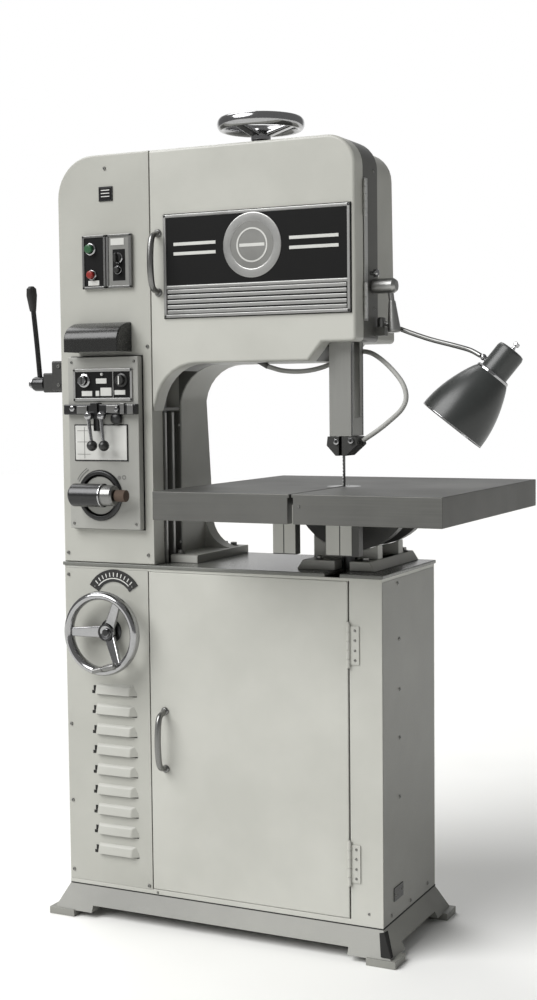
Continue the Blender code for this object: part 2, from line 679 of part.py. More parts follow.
def trunnion_cradles():
    """Bevelled rails on the lid with the saddles that the round segments turn in."""
    low = LID_Z + LID_THICK + GAP
    for node, x in (("cradle_left", (491, 568)), ("cradle_right", (598, 650))):
        rail = [(x[0], low), (x[1], low), (x[1], 733), (x[0] + 12, 733)]
        if node == "cradle_right":
            rail = [(x[0], low), (x[1], low), (x[1] - 12, 733), (x[0], 733)]
        cradle = extrude(rail, 45, 275, "Y")
        inner = (x[0] + 14, x[1]) if node == "cradle_left" else (x[0], x[1] - 14)
        for y in ((93, 117), (201, 225)):
            cradle = join(cradle, box(inner, y, (730, 790)))
        seat = rod((BLADE_X, 30, TABLE_TOP), (BLADE_X, 290, TABLE_TOP), TRUNNION_R + 0.8, 96)
        place(cut(cradle, seat), node, CAST)


def guide_post():
    """Channel-shaped post around the blade with the upper guide block at its foot."""
    slide = pivot("post_axis", (BLADE_X, 70, 1100))
    wall = 3.5
    post = cut(
        box(POST_X, POST_Y, POST_Z),
        box((POST_X[0] - 5, POST_X[1] - wall), (POST_Y[0] + wall, POST_Y[1] - wall), (POST_Z[0] - 5, POST_Z[1] + 5)),
        box((POST_X[1] - 10, POST_X[1] + 5), (56, 84), (1000, 1285)),
    )
    place(post, "guide_post", GROUND, slide)
    outline = [(558, POST_Z[0] - GAP), (556, 948), (574, 929), (594, 929), (618, 950), (614, POST_Z[0] - GAP)]
    block = extrude(outline, 40, 84, "Y")
    block = cut(block, box((BLADE_X - 3, BLADE_X + 3), (30, BLADE_Y[1] + 1.5), (920, 980)))
    block = join(block, rod((604, 62, 946.5), (620, 62, 956.7), 5.5, 12))
    return place(block, "guide_block", BLACK, slide)


def clamp_lever():
    """Screw through the head's side that locks the guide post, and its hanging handle."""
    turn = pivot("clamp_axis", (655, 80, 1240))
    screw = rod((POST_X[1] + GAP, 80, 1240), (640, 80, 1240), 6, 16)
    hub = rod((634, 80, 1240), (681, 80, 1240), 14, 20)
    arm = rod((668, 80, 1238), (672, 80, 1205), 5, 14)
    grip = rod((671, 80, 1212), (676, 80, 1155), 6, 16, 12)
    return place(join(screw, hub, arm, grip), "clamp_lever", BLACK, turn)


def lower_guide():
    """Fork behind the blade, under the table."""
    low = LID_Z + LID_THICK + GAP
    guide = join(
        box((BLADE_X - 13, BLADE_X + 13), (76, 90), (low, 790)),
        box((BLADE_X - 13, BLADE_X + 13), (46, 82), (764, 790)),
    )
    guide = cut(guide, box((BLADE_X - 3, BLADE_X + 3), (40, BLADE_Y[1] + 1.5), (750, 800)))
    return place(guide, "lower_guide", CAST)


# --- Column controls and butt welder ----------------------------------------------------------


def switch_panel():
    """Plate with three push buttons and a selector, each in a clear hole."""
    spots = {
        "start_button": (78, 1329, 12, GREEN),
        "stop_button": (81, 1279, 10, RED),
        "jog_button": (141, 1286, 8, BLACK),
    }
    selector = (141, 1309)
    plate = box((59, 170), (-6, -GAP), (1252, 1355))
    for x, z, _, _ in spots.values():
        plate = cut(plate, rod((x, -10, z), (x, 5, z), 5.5, 16))
    plate = cut(plate, rod((selector[0], -10, selector[1]), (selector[0], 5, selector[1]), 5.5, 16))
    place(plate, "switch_plate", STEEL)
    for node, (x, z, radius, look) in spots.items():
        press = pivot(node + "_axis", (x, -6, z))
        stem = rod((x, -12, z), (x, -5, z), 5, 16)
        place(join(stem, rod((x, -18, z), (x, -10, z), radius, 20)), node, look, press)
    x, z = selector
    knob = join(rod((x, -12, z), (x, -2, z), 5, 16), rod((x, -14, z), (x, -7, z), 9.5, 20))
    knob = join(knob, box((x - 2.5, x + 2.5), (-21, -12), (z - 9, z + 9)))
    return place(knob, "selector_knob", BLACK, pivot("selector_axis", (x, -6, z)))


def lamp_hood():
    """Quarter-round hood over the welder, open below."""

    def section(depth, low, high):
        curve = [(-depth * math.sin(a), low + 22 + (high - low - 22) * math.cos(a)) for a in
                 (math.radians(9 * n) for n in range(11))]
        return [(-GAP, low), (-GAP, high), *curve[1:], (-depth, low)]

    hood = extrude(section(54, 1129, 1186), 42, 164, "X")
    return place(cut(hood, extrude(section(51, 1120, 1183), 45, 161, "X")), "lamp_hood", BLACK)


def butt_welder():
    """Welder box with its instrument panel and jaw bar, the two clamp levers and the grinder."""
    case = box((27, 187), (-17, -GAP), (784, 1120), 1.5)
    case = join(case, box((46, 170), (-20, -12), (1040, 1091)))
    case = join(case, box((43, 161), (-19, -12), (919, 987)))
    case = join(case, box((26, 186), (-34, -12), (1006, 1030)))
    place(case, "welder_box", PAINT)
    for node, x, lean in (("weld_lever_left", 88, 8), ("weld_lever_right", 117, 6)):
        turn = pivot(node + "_axis", (x, -41, 1006))
        hub = rod((x, -34 - GAP, 1006), (x, -48, 1006), 8, 16)
        arm = rod((x, -42, 1006), (x + lean, -42, 948), 3.5, 12)
        place(join(hub, arm, ball((x + lean, -42, 948), 9)), node, BLACK, turn)
    grinder = rod((98, -17 - GAP, 850), (98, -24, 850), 48, 32)
    grinder = join(grinder, rod((51, -45, 852), (130, -45, 852), 22.5, 24))
    grinder = join(grinder, rod((128, -45, 852), (151, -45, 852), 15, 20))
    place(grinder, "grinder_motor", PLASTIC)
    stone = rod((151 + GAP, -45, 852), (174, -45, 852), 11.5, 24)
    return place(stone, "grinder_wheel", STONE, pivot("grinder_axis", (160, -45, 852)))


def shear():
    """Blade shear on the column's left side, with its lever."""
    body = box((-70, -GAP), (70, 112), (1056, 1116), 3)
    body = join(body, box((-97, -60), (78, 104), (1052, 1092), 3))
    place(body, "shear_bracket", CAST)
    hub = rod((-97 - GAP, 91, 1070), (-128, 91, 1070), 15, 20)
    arm = rod((-112, 91, 1074), (-126, 91, 1228), 5.5, 14)
    grip = rod((-126, 91, 1222), (-129, 91, 1262), 7, 16, 11)
    lever = join(hub, arm, grip, ball((-129, 91, 1260), 11.4))
    return place(lever, "shear_lever", BLACK, pivot("shear_axis", (-112, 91, 1070)))


# --- Work lamp and air hose -------------------------------------------------------------------


def work_lamp():
    """Swivelling tube arm, then socket, shade and bulb on a knuckle, and the switch key."""
    swivel = pivot("lamp_swivel_axis", (643, 100, 1175))
    across = LAMP_AXIS.cross(BOX_Y).normalized()
    knuckle = LAMP_MOUTH + LAMP_AXIS * 131 + across * (SOCKET_R + 6.5)
    route = [(643, 100, 1175), (671, 100, 1165), (700, 100, 1154), (740, 100, 1140.5), (787, 100, 1128)]
    last = knuckle + Vector((-0.864, 0.276, 0.42)) * 6.6
    arm = tube(smooth([*route, (815, 100, 1119.5), last], 14), 4.5)
    arm = join(arm, rod((643, 100, 1166 + GAP), (643, 100, 1184), 8, 16))
    place(arm, "lamp_arm", CHROME, swivel)

    tilt = pivot("lamp_tilt_axis", knuckle)
    neck = LAMP_MOUTH + LAMP_AXIS * SHADE_LENGTH
    end = neck + LAMP_AXIS * SOCKET_LENGTH
    socket = rod(neck + LAMP_AXIS * GAP, end, SOCKET_R, 28)
    socket = join(socket, ball(knuckle, 6), rod(knuckle, knuckle - across * 12, 4.5, 12))
    socket = join(socket, rod(neck - LAMP_AXIS * 18, neck + LAMP_AXIS * 10, 14, 20))
    place(socket, "lamp_socket", ENAMEL, tilt)

    wall, count = 1.4, 6
    outer = [(shade_radius(n / count), SHADE_LENGTH * (1 - n / count)) for n in range(count + 1)]
    inner = [(r - wall, h) for r, h in outer[::-1]]
    inner[-1] = (inner[-1][0], SHADE_LENGTH - wall)
    hole = [(15, SHADE_LENGTH - wall), (15, SHADE_LENGTH)]
    place(turned([*outer, *inner, *hole], LAMP_MOUTH, LAMP_AXIS, 24), "lamp_shade", ENAMEL, tilt)
    bulb = ball(neck - LAMP_AXIS * 48, 24)
    bulb = join(bulb, rod(neck - LAMP_AXIS * (18 + GAP), neck - LAMP_AXIS * 40, 13, 16))
    place(bulb, "lamp_bulb", GLASS, tilt)
    key = rod(end + LAMP_AXIS * GAP, end + LAMP_AXIS * 12, 3, 12)
    side = LAMP_AXIS.cross(BOX_X).normalized()
    key = join(key, rod(end + LAMP_AXIS * 12 - side * 7, end + LAMP_AXIS * 12 + side * 7, 4, 12))
    return place(key, "lamp_key", CHROME, pivot("lamp_key_axis", end))


def shade_radius(along):
    """The shade's radius from its neck, at 0, to its mouth, at 1."""
    return 33 + (65.7 - 33) * math.sin(along * math.pi / 2) ** 0.85


HOSE_ROUTE = [
    (421, 75, 1096.4), (454, 76, 1088), (495, 80, 1087), (530, 93, 1095), (558, 108, 1111),
    (585, 112, 1121), (611, 108, 1121), (640, 88, 1111), (672, 70, 1090), (698, 62, 1062), (706, 60, 1036),
    (697, 60, 1014), (672, 61, 992), (648, 62, 974.5), (620.4, 62, 957),
]


def air_hose():
    """Chip-blower hose from the arm's underside, round behind the post, to the guide block."""
    return place(tube(smooth(HOSE_ROUTE, 34), 4.5), "air_hose", RUBBER)


base_plinth()
cabinet()
service_panel()
lower_door()
column_cover()
blade_channel()
column_casting()
wheel_housing()
upper_door()
upper_wheel()
lower_wheel()
motor_drive()
blade()
tension_handwheel()
speed_handwheel()
table()
trunnion_cradles()
guide_post()
clamp_lever()
lower_guide()
switch_panel()
lamp_hood()
butt_welder()
shear()
work_lamp()
air_hose()
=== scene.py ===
"""Looks of the contour band saw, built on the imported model."""

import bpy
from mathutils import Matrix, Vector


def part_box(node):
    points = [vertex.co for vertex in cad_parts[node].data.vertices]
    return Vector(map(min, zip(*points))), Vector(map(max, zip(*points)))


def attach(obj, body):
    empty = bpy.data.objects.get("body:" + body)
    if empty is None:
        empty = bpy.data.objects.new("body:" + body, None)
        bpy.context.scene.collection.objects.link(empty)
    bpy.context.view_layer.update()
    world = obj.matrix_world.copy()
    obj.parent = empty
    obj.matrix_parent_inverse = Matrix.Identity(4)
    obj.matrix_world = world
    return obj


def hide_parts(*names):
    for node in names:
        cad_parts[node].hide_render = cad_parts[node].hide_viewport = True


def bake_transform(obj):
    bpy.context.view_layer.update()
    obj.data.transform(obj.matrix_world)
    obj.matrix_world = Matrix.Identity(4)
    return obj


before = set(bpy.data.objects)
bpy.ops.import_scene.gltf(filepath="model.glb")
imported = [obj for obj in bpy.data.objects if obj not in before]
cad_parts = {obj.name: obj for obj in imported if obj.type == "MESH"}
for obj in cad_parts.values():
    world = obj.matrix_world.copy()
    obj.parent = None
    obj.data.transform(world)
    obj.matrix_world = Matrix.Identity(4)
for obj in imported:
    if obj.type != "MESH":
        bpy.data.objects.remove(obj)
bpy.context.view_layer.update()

import math

import bmesh
import bpy
from mathutils import Matrix, Vector

# --- Camera, floor and studio light -----------------------------------------------------------
# The machine stands on a plain pale floor against a white backdrop. A broad soft light comes from
# the front left and above, so the fronts are bright and the right-hand sides are in half shade.

mm = 0.001
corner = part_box("cabinet_shell")[0]  # the cabinet's front left corner, where places count from


def at(x, y, z):
    """A place in millimetres: right of and behind the cabinet's front left corner, and up."""
    return Vector((corner.x + x * mm, corner.y + y * mm, z * mm))


def add(tree, kind, sockets=None, **settings):
    """Adds a node with its settings, and sets or links its sockets."""
    made = tree.nodes.new(kind)
    for setting, value in settings.items():
        setattr(made, setting, value)
    for socket, value in (sockets or {}).items():
        if isinstance(value, bpy.types.NodeSocket):
            tree.links.new(value, made.inputs[socket])
        else:
            made.inputs[socket].default_value = value
    return made


def paint_chip(code):
    """An sRGB hex value as linear red, green, blue and alpha."""
    channels = [int(code[n : n + 2], 16) / 255 for n in (0, 2, 4)]
    return (*(c / 12.92 if c <= 0.04045 else ((c + 0.055) / 1.055) ** 2.4 for c in channels), 1.0)


eye = bpy.data.objects.new("eye", bpy.data.cameras.new("eye"))
bpy.context.scene.collection.objects.link(eye)
bpy.context.scene.camera = eye
yaw, pitch, roll = math.radians(-25.9), math.radians(-4.0), math.radians(-0.6)
ahead = Vector((math.sin(yaw) * math.cos(pitch), math.cos(yaw) * math.cos(pitch), math.sin(pitch)))
across = Vector((math.cos(yaw), -math.sin(yaw), 0))
over = across.cross(ahead)
right = across * math.cos(roll) + over * math.sin(roll)
head = over * math.cos(roll) - across * math.sin(roll)
turn = Matrix((right, head, -ahead)).transposed().to_4x4()
eye.matrix_world = Matrix.Translation(at(1690.1, -2544.5, 1045.1)) @ turn
eye.data.lens = 54.75
eye.data.sensor_width = 36
eye.data.clip_end = 60

world = bpy.data.worlds.new("studio")
world.use_nodes = True
sky = world.node_tree
toward = add(sky, "ShaderNodeTexCoord").outputs["Generated"]
facing = add(sky, "ShaderNodeVectorMath", {0: toward, 1: tuple(ahead)}, operation="DOT_PRODUCT")
backdrop = add(
    sky,
    "ShaderNodeMapRange",
    {"Value": facing.outputs["Value"], "From Min": 0.78, "From Max": 0.92, "To Min": 0.22, "To Max": 1.0},
)
sky.links.new(backdrop.outputs["Result"], sky.nodes["Background"].inputs["Strength"])
sky.nodes["Background"].inputs["Color"].default_value = (1, 1, 1, 1)
bpy.context.scene.world = world
bpy.context.scene.view_settings.view_transform = "Standard"


def studio_lamp(name, toward_light, strength, spread):
    """A distant lamp whose light comes from a direction, softened over an angle in degrees."""
    lamp = bpy.data.lights.new(name, "SUN")
    lamp.energy = strength
    lamp.angle = math.radians(spread)
    held = bpy.data.objects.new(name, lamp)
    held.rotation_euler = Vector(toward_light).to_track_quat("Z", "Y").to_euler()
    bpy.context.scene.collection.objects.link(held)


studio_lamp("key", (-0.42, -0.62, 0.66), 3.35, 45)
studio_lamp("top", (-0.5, 0.3, 0.8), 0.8, 30)


def stage_floor():
    work = bmesh.new()
    bmesh.ops.create_grid(work, x_segments=1, y_segments=1, size=14)
    mesh = bpy.data.meshes.new("floor")
    work.to_mesh(mesh)
    work.free()
    made = bpy.data.objects.new("floor", mesh)
    bpy.context.scene.collection.objects.link(made)
    pale = bpy.data.materials.new("pale_floor")
    pale.use_nodes = True
    tree = pale.node_tree
    shader = tree.nodes["Principled BSDF"]
    place = add(tree, "ShaderNodeTexCoord").outputs["Object"]
    mottle = add(tree, "ShaderNodeTexNoise", {"Vector": place, "Scale": 3.0}).outputs["Fac"]
    tint = add(tree, "ShaderNodeValToRGB", {"Fac": mottle})
    tint.color_ramp.elements[0].color = paint_chip("f2f2ef")
    tint.color_ramp.elements[1].color = paint_chip("f8f8f6")
    tree.links.new(tint.outputs["Color"], shader.inputs["Base Color"])
    shader.inputs["Roughness"].default_value = 0.9
    mesh.materials.append(pale)


stage_floor()

# --- Blower hose ------------------------------------------------------------------------------
# A soft grey rubber hose, 9 mm thick, pushed over a nipple under the arm and another on the guide
# block. It swings round behind the post.

front, side, up = Vector((0, -1, 0)), Vector((1, 0, 0)), Vector((0, 0, 1))


def tinted(tree, factor, low, high, spread=(0.35, 0.65)):
    """A ramp between two paint colours over part of a pattern's range."""
    ramp = add(tree, "ShaderNodeValToRGB", {"Fac": factor})
    ramp.color_ramp.elements[0].position, ramp.color_ramp.elements[1].position = spread
    ramp.color_ramp.elements[0].color = paint_chip(low)
    ramp.color_ramp.elements[1].color = paint_chip(high)
    return ramp.outputs["Color"]


def new_finish(name):
    """A new material, its node tree, its shader and the piece's own coordinates."""
    made = bpy.data.materials.new(name)
    made.use_nodes = True
    tree = made.node_tree
    place = add(tree, "ShaderNodeTexCoord").outputs["Object"]
    return made, tree, tree.nodes["Principled BSDF"], place


def moulded(name, low, high, rough, grain_mm=1.2, relief_mm=0.05):
    """Rubber or moulded plastic: almost even colour, mould texture (drawn coarse) and dusty patches."""
    made, tree, shader, place = new_finish(name)
    shader.inputs["IOR"].default_value = 1.5
    dust = add(tree, "ShaderNodeTexNoise", {"Vector": place, "Scale": 18.0, "Detail": 5.0}).outputs["Fac"]
    grain = add(
        tree, "ShaderNodeTexNoise", {"Vector": place, "Scale": 1000 / grain_mm, "Detail": 2.0}
    ).outputs["Fac"]
    tree.links.new(tinted(tree, dust, low, high), shader.inputs["Base Color"])
    sheen = add(tree, "ShaderNodeMapRange", {"Value": dust, "To Min": rough - 0.05, "To Max": rough + 0.1})
    tree.links.new(sheen.outputs["Result"], shader.inputs["Roughness"])
    bump = add(tree, "ShaderNodeBump", {"Height": grain, "Distance": relief_mm * mm, "Strength": 0.6})
    tree.links.new(bump.outputs["Normal"], shader.inputs["Normal"])
    return made


def show(name, work, finish, body=None, stands_for=(), crease=35):
    """Turns finished mesh work into a piece, which rides on a body if one is named."""
    mesh = bpy.data.meshes.new(name)
    work.to_mesh(mesh)
    work.free()
    mesh.materials.append(finish)
    mesh.shade_smooth()
    mesh.set_sharp_from_angle(angle=math.radians(crease))
    made = bpy.data.objects.new(name, mesh)
    bpy.context.scene.collection.objects.link(made)
    if body:
        even = made.modifiers.new("even_flats", "WEIGHTED_NORMAL")
        even.keep_sharp = True
        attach(made, body)
    if stands_for:
        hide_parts(*stands_for)
        return made
    return made


def curve_through(route, count):
    """Places on a smooth curve through a route."""
    ends = [route[0] * 2 - route[1], *route, route[-1] * 2 - route[-2]]
    spans = len(route) - 1
    places = []
    for n in range(count + 1):
        along = n * spans / count
        k = min(int(along), spans - 1)
        t = along - k
        a, b, c, d = ends[k : k + 4]
        places.append(
            (b * 2 + (c - a) * t + (a * 2 - b * 5 + c * 4 - d) * t**2 + (b * 3 - a - c * 3 + d) * t**3) / 2
        )
    return places


def face_along(out):
    """A turn that points +Z along out."""
    return up.rotation_difference(Vector(out)).to_matrix().to_4x4()


def sweep(places, radii, sides=16):
    """A round bar along a line of places, with a radius in millimetres or one for each place."""
    if not isinstance(radii, (list, tuple)):
        radii = [radii] * len(places)
    work = bmesh.new()
    verts = bmesh.ops.create_circle(work, cap_ends=False, segments=sides, radius=1)["verts"]
    edges = list(work.edges)
    turn = face_along(places[1] - places[0])
    now = Matrix.Translation(places[0]) @ turn @ Matrix.Scale(radii[0] * mm, 4)
    bmesh.ops.transform(work, matrix=now, verts=verts)
    heading = (places[1] - places[0]).normalized()
    for n in range(1, len(places)):
        ahead_of = places[min(n + 1, len(places) - 1)] - places[n - 1]
        turn = heading.rotation_difference(ahead_of).to_matrix().to_4x4() @ turn
        heading = ahead_of.normalized()
        then = Matrix.Translation(places[n]) @ turn @ Matrix.Scale(radii[n] * mm, 4)
        grown = bmesh.ops.extrude_edge_only(work, edges=edges)["geom"]
        verts = [g for g in grown if isinstance(g, bmesh.types.BMVert)]
        edges = [g for g in grown if isinstance(g, bmesh.types.BMEdge)]
        bmesh.ops.transform(work, matrix=then @ now.inverted(), verts=verts)
        now = then
    bmesh.ops.holes_fill(work, edges=work.edges, sides=0)
    bmesh.ops.recalc_face_normals(work, faces=work.faces)
    return work


hose_rubber = moulded("light_grey_rubber", "9c9c98", "acaca8", 0.55)
hose_route = [
    at(421, 75, 1096.4), at(454, 76, 1088), at(495, 80, 1087), at(530, 93, 1095), at(558, 108, 1111),
    at(585, 112, 1121), at(611, 108, 1121), at(640, 88, 1111), at(672, 70, 1090), at(698, 62, 1062),
    at(706, 60, 1036), at(697, 60, 1014), at(672, 61, 992), at(648, 62, 974.5), at(620.4, 62, 957),
]
hose_line = curve_through(hose_route, 84)
hose = show("blower_hose", sweep(hose_line, 4.5), hose_rubber, None, ["air_hose"])
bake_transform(hose)

# --- Base plinth ------------------------------------------------------------------------------
# A grey iron casting, sand-moulded and dipped in grey machine enamel, with a pad at each corner.
# The mould leaves it faintly lumpy and every edge is rounded.


def enamel(name, dark, light, gloss, grain_mm, relief_mm, worn="9a9a96"):
    """Machine enamel: cloudy colour, orange-peel relief, and real edges rubbed a little brighter."""
    made, tree, shader, place = new_finish(name)
    shader.inputs["IOR"].default_value = 1.5
    cloud = add(tree, "ShaderNodeTexNoise", {"Vector": place, "Scale": 5.0, "Detail": 5.0}).outputs["Fac"]
    grain = add(
        tree, "ShaderNodeTexNoise", {"Vector": place, "Scale": 1000 / grain_mm, "Detail": 3.0}
    ).outputs["Fac"]
    shape = add(tree, "ShaderNodeNewGeometry").outputs["Pointiness"]
    edge = add(tree, "ShaderNodeMapRange", {"Value": shape, "From Min": 0.7, "From Max": 0.9})
    rubbed = add(
        tree, "ShaderNodeMath", {0: edge.outputs["Result"], 1: grain}, operation="MULTIPLY", use_clamp=True
    )
    mixed = add(
        tree,
        "ShaderNodeMix",
        {0: rubbed.outputs[0], 6: tinted(tree, cloud, dark, light), 7: paint_chip(worn)},
        data_type="RGBA",
    )
    tree.links.new(mixed.outputs[2], shader.inputs["Base Color"])
    sheen = add(tree, "ShaderNodeMapRange", {"Value": grain, "To Min": gloss - 0.06, "To Max": gloss + 0.08})
    tree.links.new(sheen.outputs["Result"], shader.inputs["Roughness"])
    bump = add(tree, "ShaderNodeBump", {"Height": grain, "Distance": relief_mm * mm, "Strength": 0.5})
    tree.links.new(bump.outputs["Normal"], shader.inputs["Normal"])
    return made


def bevel(work, edges, width, segments, clamp=False):
    """Rounds some edges, by a width in millimetres."""
    bmesh.ops.bevel(
        work, geom=edges, offset=width * mm, segments=segments, profile=0.5, affect="EDGES", material=-1,
        clamp_overlap=clamp,
    )


def round_off(work, width, segments=2, above=40):
    """Rounds every edge that turns by more than an angle."""
    sharp = [e for e in work.edges if len(e.link_faces) == 2 and e.calc_face_angle() > math.radians(above)]
    bevel(work, sharp, width, segments, True)


def rounded_copy(node, width, segments=2, rim=0.0, seam=0.0):
    """A node's own shape with its edges rounded, its front rim more except along an upright seam."""
    work = bmesh.new()
    work.from_mesh(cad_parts[node].data)
    bmesh.ops.remove_doubles(work, verts=work.verts, dist=0.01 * mm)
    bmesh.ops.dissolve_limit(work, angle_limit=math.radians(1), verts=work.verts, edges=work.edges)
    if rim:
        face = min(v.co.y for v in work.verts) + 0.05 * mm
        outer = [e for e in work.edges if e.is_convex and all(v.co.y < face for v in e.verts)]
        outer = [e for e in outer if len(e.link_faces) == 2 and e.calc_face_angle() > 1]
        if seam:
            line = at(seam, 0, 0).x
            outer = [e for e in outer if any(abs(v.co.x - line) > 5 * mm for v in e.verts)]
        bevel(work, outer, rim, 5)
    round_off(work, width, segments)
    return work


plinth_enamel = enamel("plinth_enamel_on_cast_iron", "7c7c77", "888882", 0.45, 3.0, 0.4)
show("plinth_casting", rounded_copy("base_plinth", 2.5, 3), plinth_enamel, "frame", ["base_plinth"])

# --- Cabinet and lid --------------------------------------------------------------------------
# Folded 2.5 mm steel sheet in pale grey stoved enamel, with a darker top plate. Pan-head screws
# hold the right-hand panel, a small plate covers the cable outlet low on that side, and dark felt
# seals the joint to the plinth.


def bright_metal(name, low, high, rough, grain_mm=0.8, stretch=(1, 1, 1), relief_mm=0.02, dull="3a3a38"):
    """Bare steel or plating: tool marks, drawn coarser than real so that they show, and some tarnish."""
    made, tree, shader, place = new_finish(name)
    shader.inputs["Metallic"].default_value = 1.0
    drawn = add(tree, "ShaderNodeMapping", {"Vector": place, "Scale": stretch}).outputs["Vector"]
    marks = add(
        tree, "ShaderNodeTexNoise", {"Vector": drawn, "Scale": 1000 / grain_mm, "Detail": 2.0}
    ).outputs["Fac"]
    stain = add(tree, "ShaderNodeTexNoise", {"Vector": place, "Scale": 14.0, "Detail": 6.0}).outputs["Fac"]
    amount = add(
        tree, "ShaderNodeMapRange", {"Value": stain, "From Min": 0.55, "From Max": 0.9, "To Max": 0.5}
    )
    mixed = add(
        tree,
        "ShaderNodeMix",
        {0: amount.outputs["Result"], 6: tinted(tree, marks, low, high, (0.3, 0.7)), 7: paint_chip(dull)},
        data_type="RGBA",
    )
    tree.links.new(mixed.outputs[2], shader.inputs["Base Color"])
    polish = add(tree, "ShaderNodeMapRange", {"Value": marks, "To Min": rough * 0.8, "To Max": rough * 1.3})
    tree.links.new(polish.outputs["Result"], shader.inputs["Roughness"])
    bump = add(tree, "ShaderNodeBump", {"Height": marks, "Distance": relief_mm * mm, "Strength": 0.4})
    tree.links.new(bump.outputs["Normal"], shader.inputs["Normal"])
    return made


def take_in(work, other, matrix=Matrix()):
    """Adds another work's mesh, moved by the matrix, and ends the other."""
    bmesh.ops.transform(other, matrix=matrix, verts=other.verts)
    held = bpy.data.meshes.new("held")
    other.to_mesh(held)
    other.free()
    work.from_mesh(held)
    bpy.data.meshes.remove(held)
    return work


def slab(low, high, edge=0.8, segments=2):
    """A block between two corners with rounded edges."""
    work = bmesh.new()
    bmesh.ops.create_cube(work, size=1)
    bmesh.ops.scale(work, vec=high - low, verts=work.verts)
    bmesh.ops.translate(work, vec=(low + high) / 2, verts=work.verts)
    if edge:
        bevel(work, work.edges, edge, segments)
    return work


def slabs(corners, edge=0.8):
    """Several separate blocks in one work, from pairs of corners."""
    work = bmesh.new()
    for low, high in corners:
        take_in(work, slab(low, high, edge))
    return work


def screw_head(radius):
    """A pan head with a hexagon recess, standing on Z = 0."""
    work = bmesh.new()
    high = radius * 0.6
    bmesh.ops.create_cone(
        work, cap_ends=True, segments=12, radius1=radius * mm, radius2=radius * 0.75 * mm, depth=high * mm
    )
    bmesh.ops.translate(work, vec=up * high * mm / 2, verts=work.verts)
    top = max(work.faces, key=lambda f: f.calc_center_median().z)
    bmesh.ops.inset_individual(work, faces=[top], thickness=radius * 0.32 * mm)
    bmesh.ops.inset_individual(work, faces=[top], thickness=radius * 0.05 * mm, depth=-high * 0.6 * mm)
    return work


def screws(name, places, out, radius, body):
    """A row of equal screw heads that stand out of one face."""
    work = bmesh.new()
    for place in places:
        take_in(work, screw_head(radius), Matrix.Translation(place) @ face_along(out))
    return show(name, work, screw_steel, body)


# Matt black for the felt in the plinth joint, and as painted shade in the plinth's open corner and under the
# louvres.
black_felt_and_painted_shade = moulded("black_sealing_felt_and_painted_shade", "1a1a19", "242423", 0.9)
screw_steel = bright_metal("zinc_plated_screw_steel", "7d7d7b", "959592", 0.35)
sheet_enamel = enamel("pale_stoved_enamel_on_sheet", "adada6", "b7b7b0", 0.36, 2.2, 0.12, "c9c9c4")
# A darker copy of the pale sheet enamel for the right-hand panel: painted shade on the side that faces away
# from the light.
shaded_side_enamel = enamel("side_panel_painted_shade_enamel", "7d7d78", "878782", 0.4, 2.2, 0.12, "a9a9a4")
lid_enamel = enamel("lid_enamel", "5f605c", "6c6d68", 0.25, 2.5, 0.15)
black_enamel = enamel("gloss_black_enamel", "141414", "1c1c1b", 0.2, 2.0, 0.05, "4a4a48")
show("cabinet_sheet", rounded_copy("cabinet_shell", 1.1, 3), sheet_enamel, "frame", ["cabinet_shell"])
show("lid_plate", rounded_copy("cabinet_lid", 1.6, 3), lid_enamel, "frame", ["cabinet_lid"])
joint_z = corner.z / mm  # the joint between the plinth and the cabinet
far_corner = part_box("cabinet_shell")[1]
panel_end = Vector((corner.x + 680.6 * mm, far_corner.y - 5 * mm, 702 * mm))
# The right-hand panel's sheet carries the darker enamel, as painted shade.
show("side_panel_sheet", slab(at(679.8, 2, joint_z + 3), panel_end, 0.3), shaded_side_enamel, "frame")
felt = slabs([
    (at(1, -0.8, joint_z), at(681, 0.4, joint_z + 1.8)),
    (at(679.6, 1, joint_z), at(681, 279, joint_z + 3.2)),
], 0.1)
show("plinth_joint_felt", felt, black_felt_and_painted_shade, "frame")


def corner_gap():
    """A dark sheet in the tapering gap between the plinth's front and right-hand plates: painted shade where
    the corner stands open.
    """
    top, foot = at(680, 0, joint_z - 3), at(703, -23, 18)
    front_out, side_out = Vector((0, -1, 0.25)), Vector((1, 0, 0.25))
    work = bmesh.new()
    ridge = [work.verts.new(p + (front_out + side_out) * mm) for p in (top, foot)]
    left = [work.verts.new(p + (front_out - side * wide) * mm) for p, wide in ((top, 8), (foot, 19))]
    rear = [work.verts.new(p + side_out * mm - front * wide * mm) for p, wide in ((top, 18), (foot, 10))]
    work.faces.new((left[0], left[1], ridge[1], ridge[0]))
    work.faces.new((ridge[0], ridge[1], rear[1], rear[0]))
    bmesh.ops.recalc_face_normals(work, faces=work.faces)
    bmesh.ops.solidify(work, geom=work.faces, thickness=0.8 * mm)
    bmesh.ops.recalc_face_normals(work, faces=work.faces)
    return work


show("plinth_corner_painted_shade", corner_gap(), black_felt_and_painted_shade, "frame")
side_screws = [(78, 692), (85, 587), (86, 492), (85, 401), (84, 289), (40, 75), (140, 73), (236, 78)]
screws("side_panel_screws", [at(680, y, z) for y, z in side_screws], side, 4.2, "frame")
show("outlet_plate", slab(at(680, 51, 97), at(682.4, 98, 123)), black_enamel, "frame")
screws("outlet_screws", [at(682.4, y, 110) for y in (56, 93)], side, 2.5, "frame")

# --- Service panel ----------------------------------------------------------------------------
# The left front panel is steel sheet with nine louvres pressed out over slits, and it is held by
# screws along its edges. Each louvre is a flat hood with a slanting end and an open lower lip.

column_enamel = enamel("column_stoved_enamel", "a2a29b", "acaca5", 0.38, 2.2, 0.12, "c2c2bd")
louvre_low = [131 + 40.4 * n for n in range(9)]


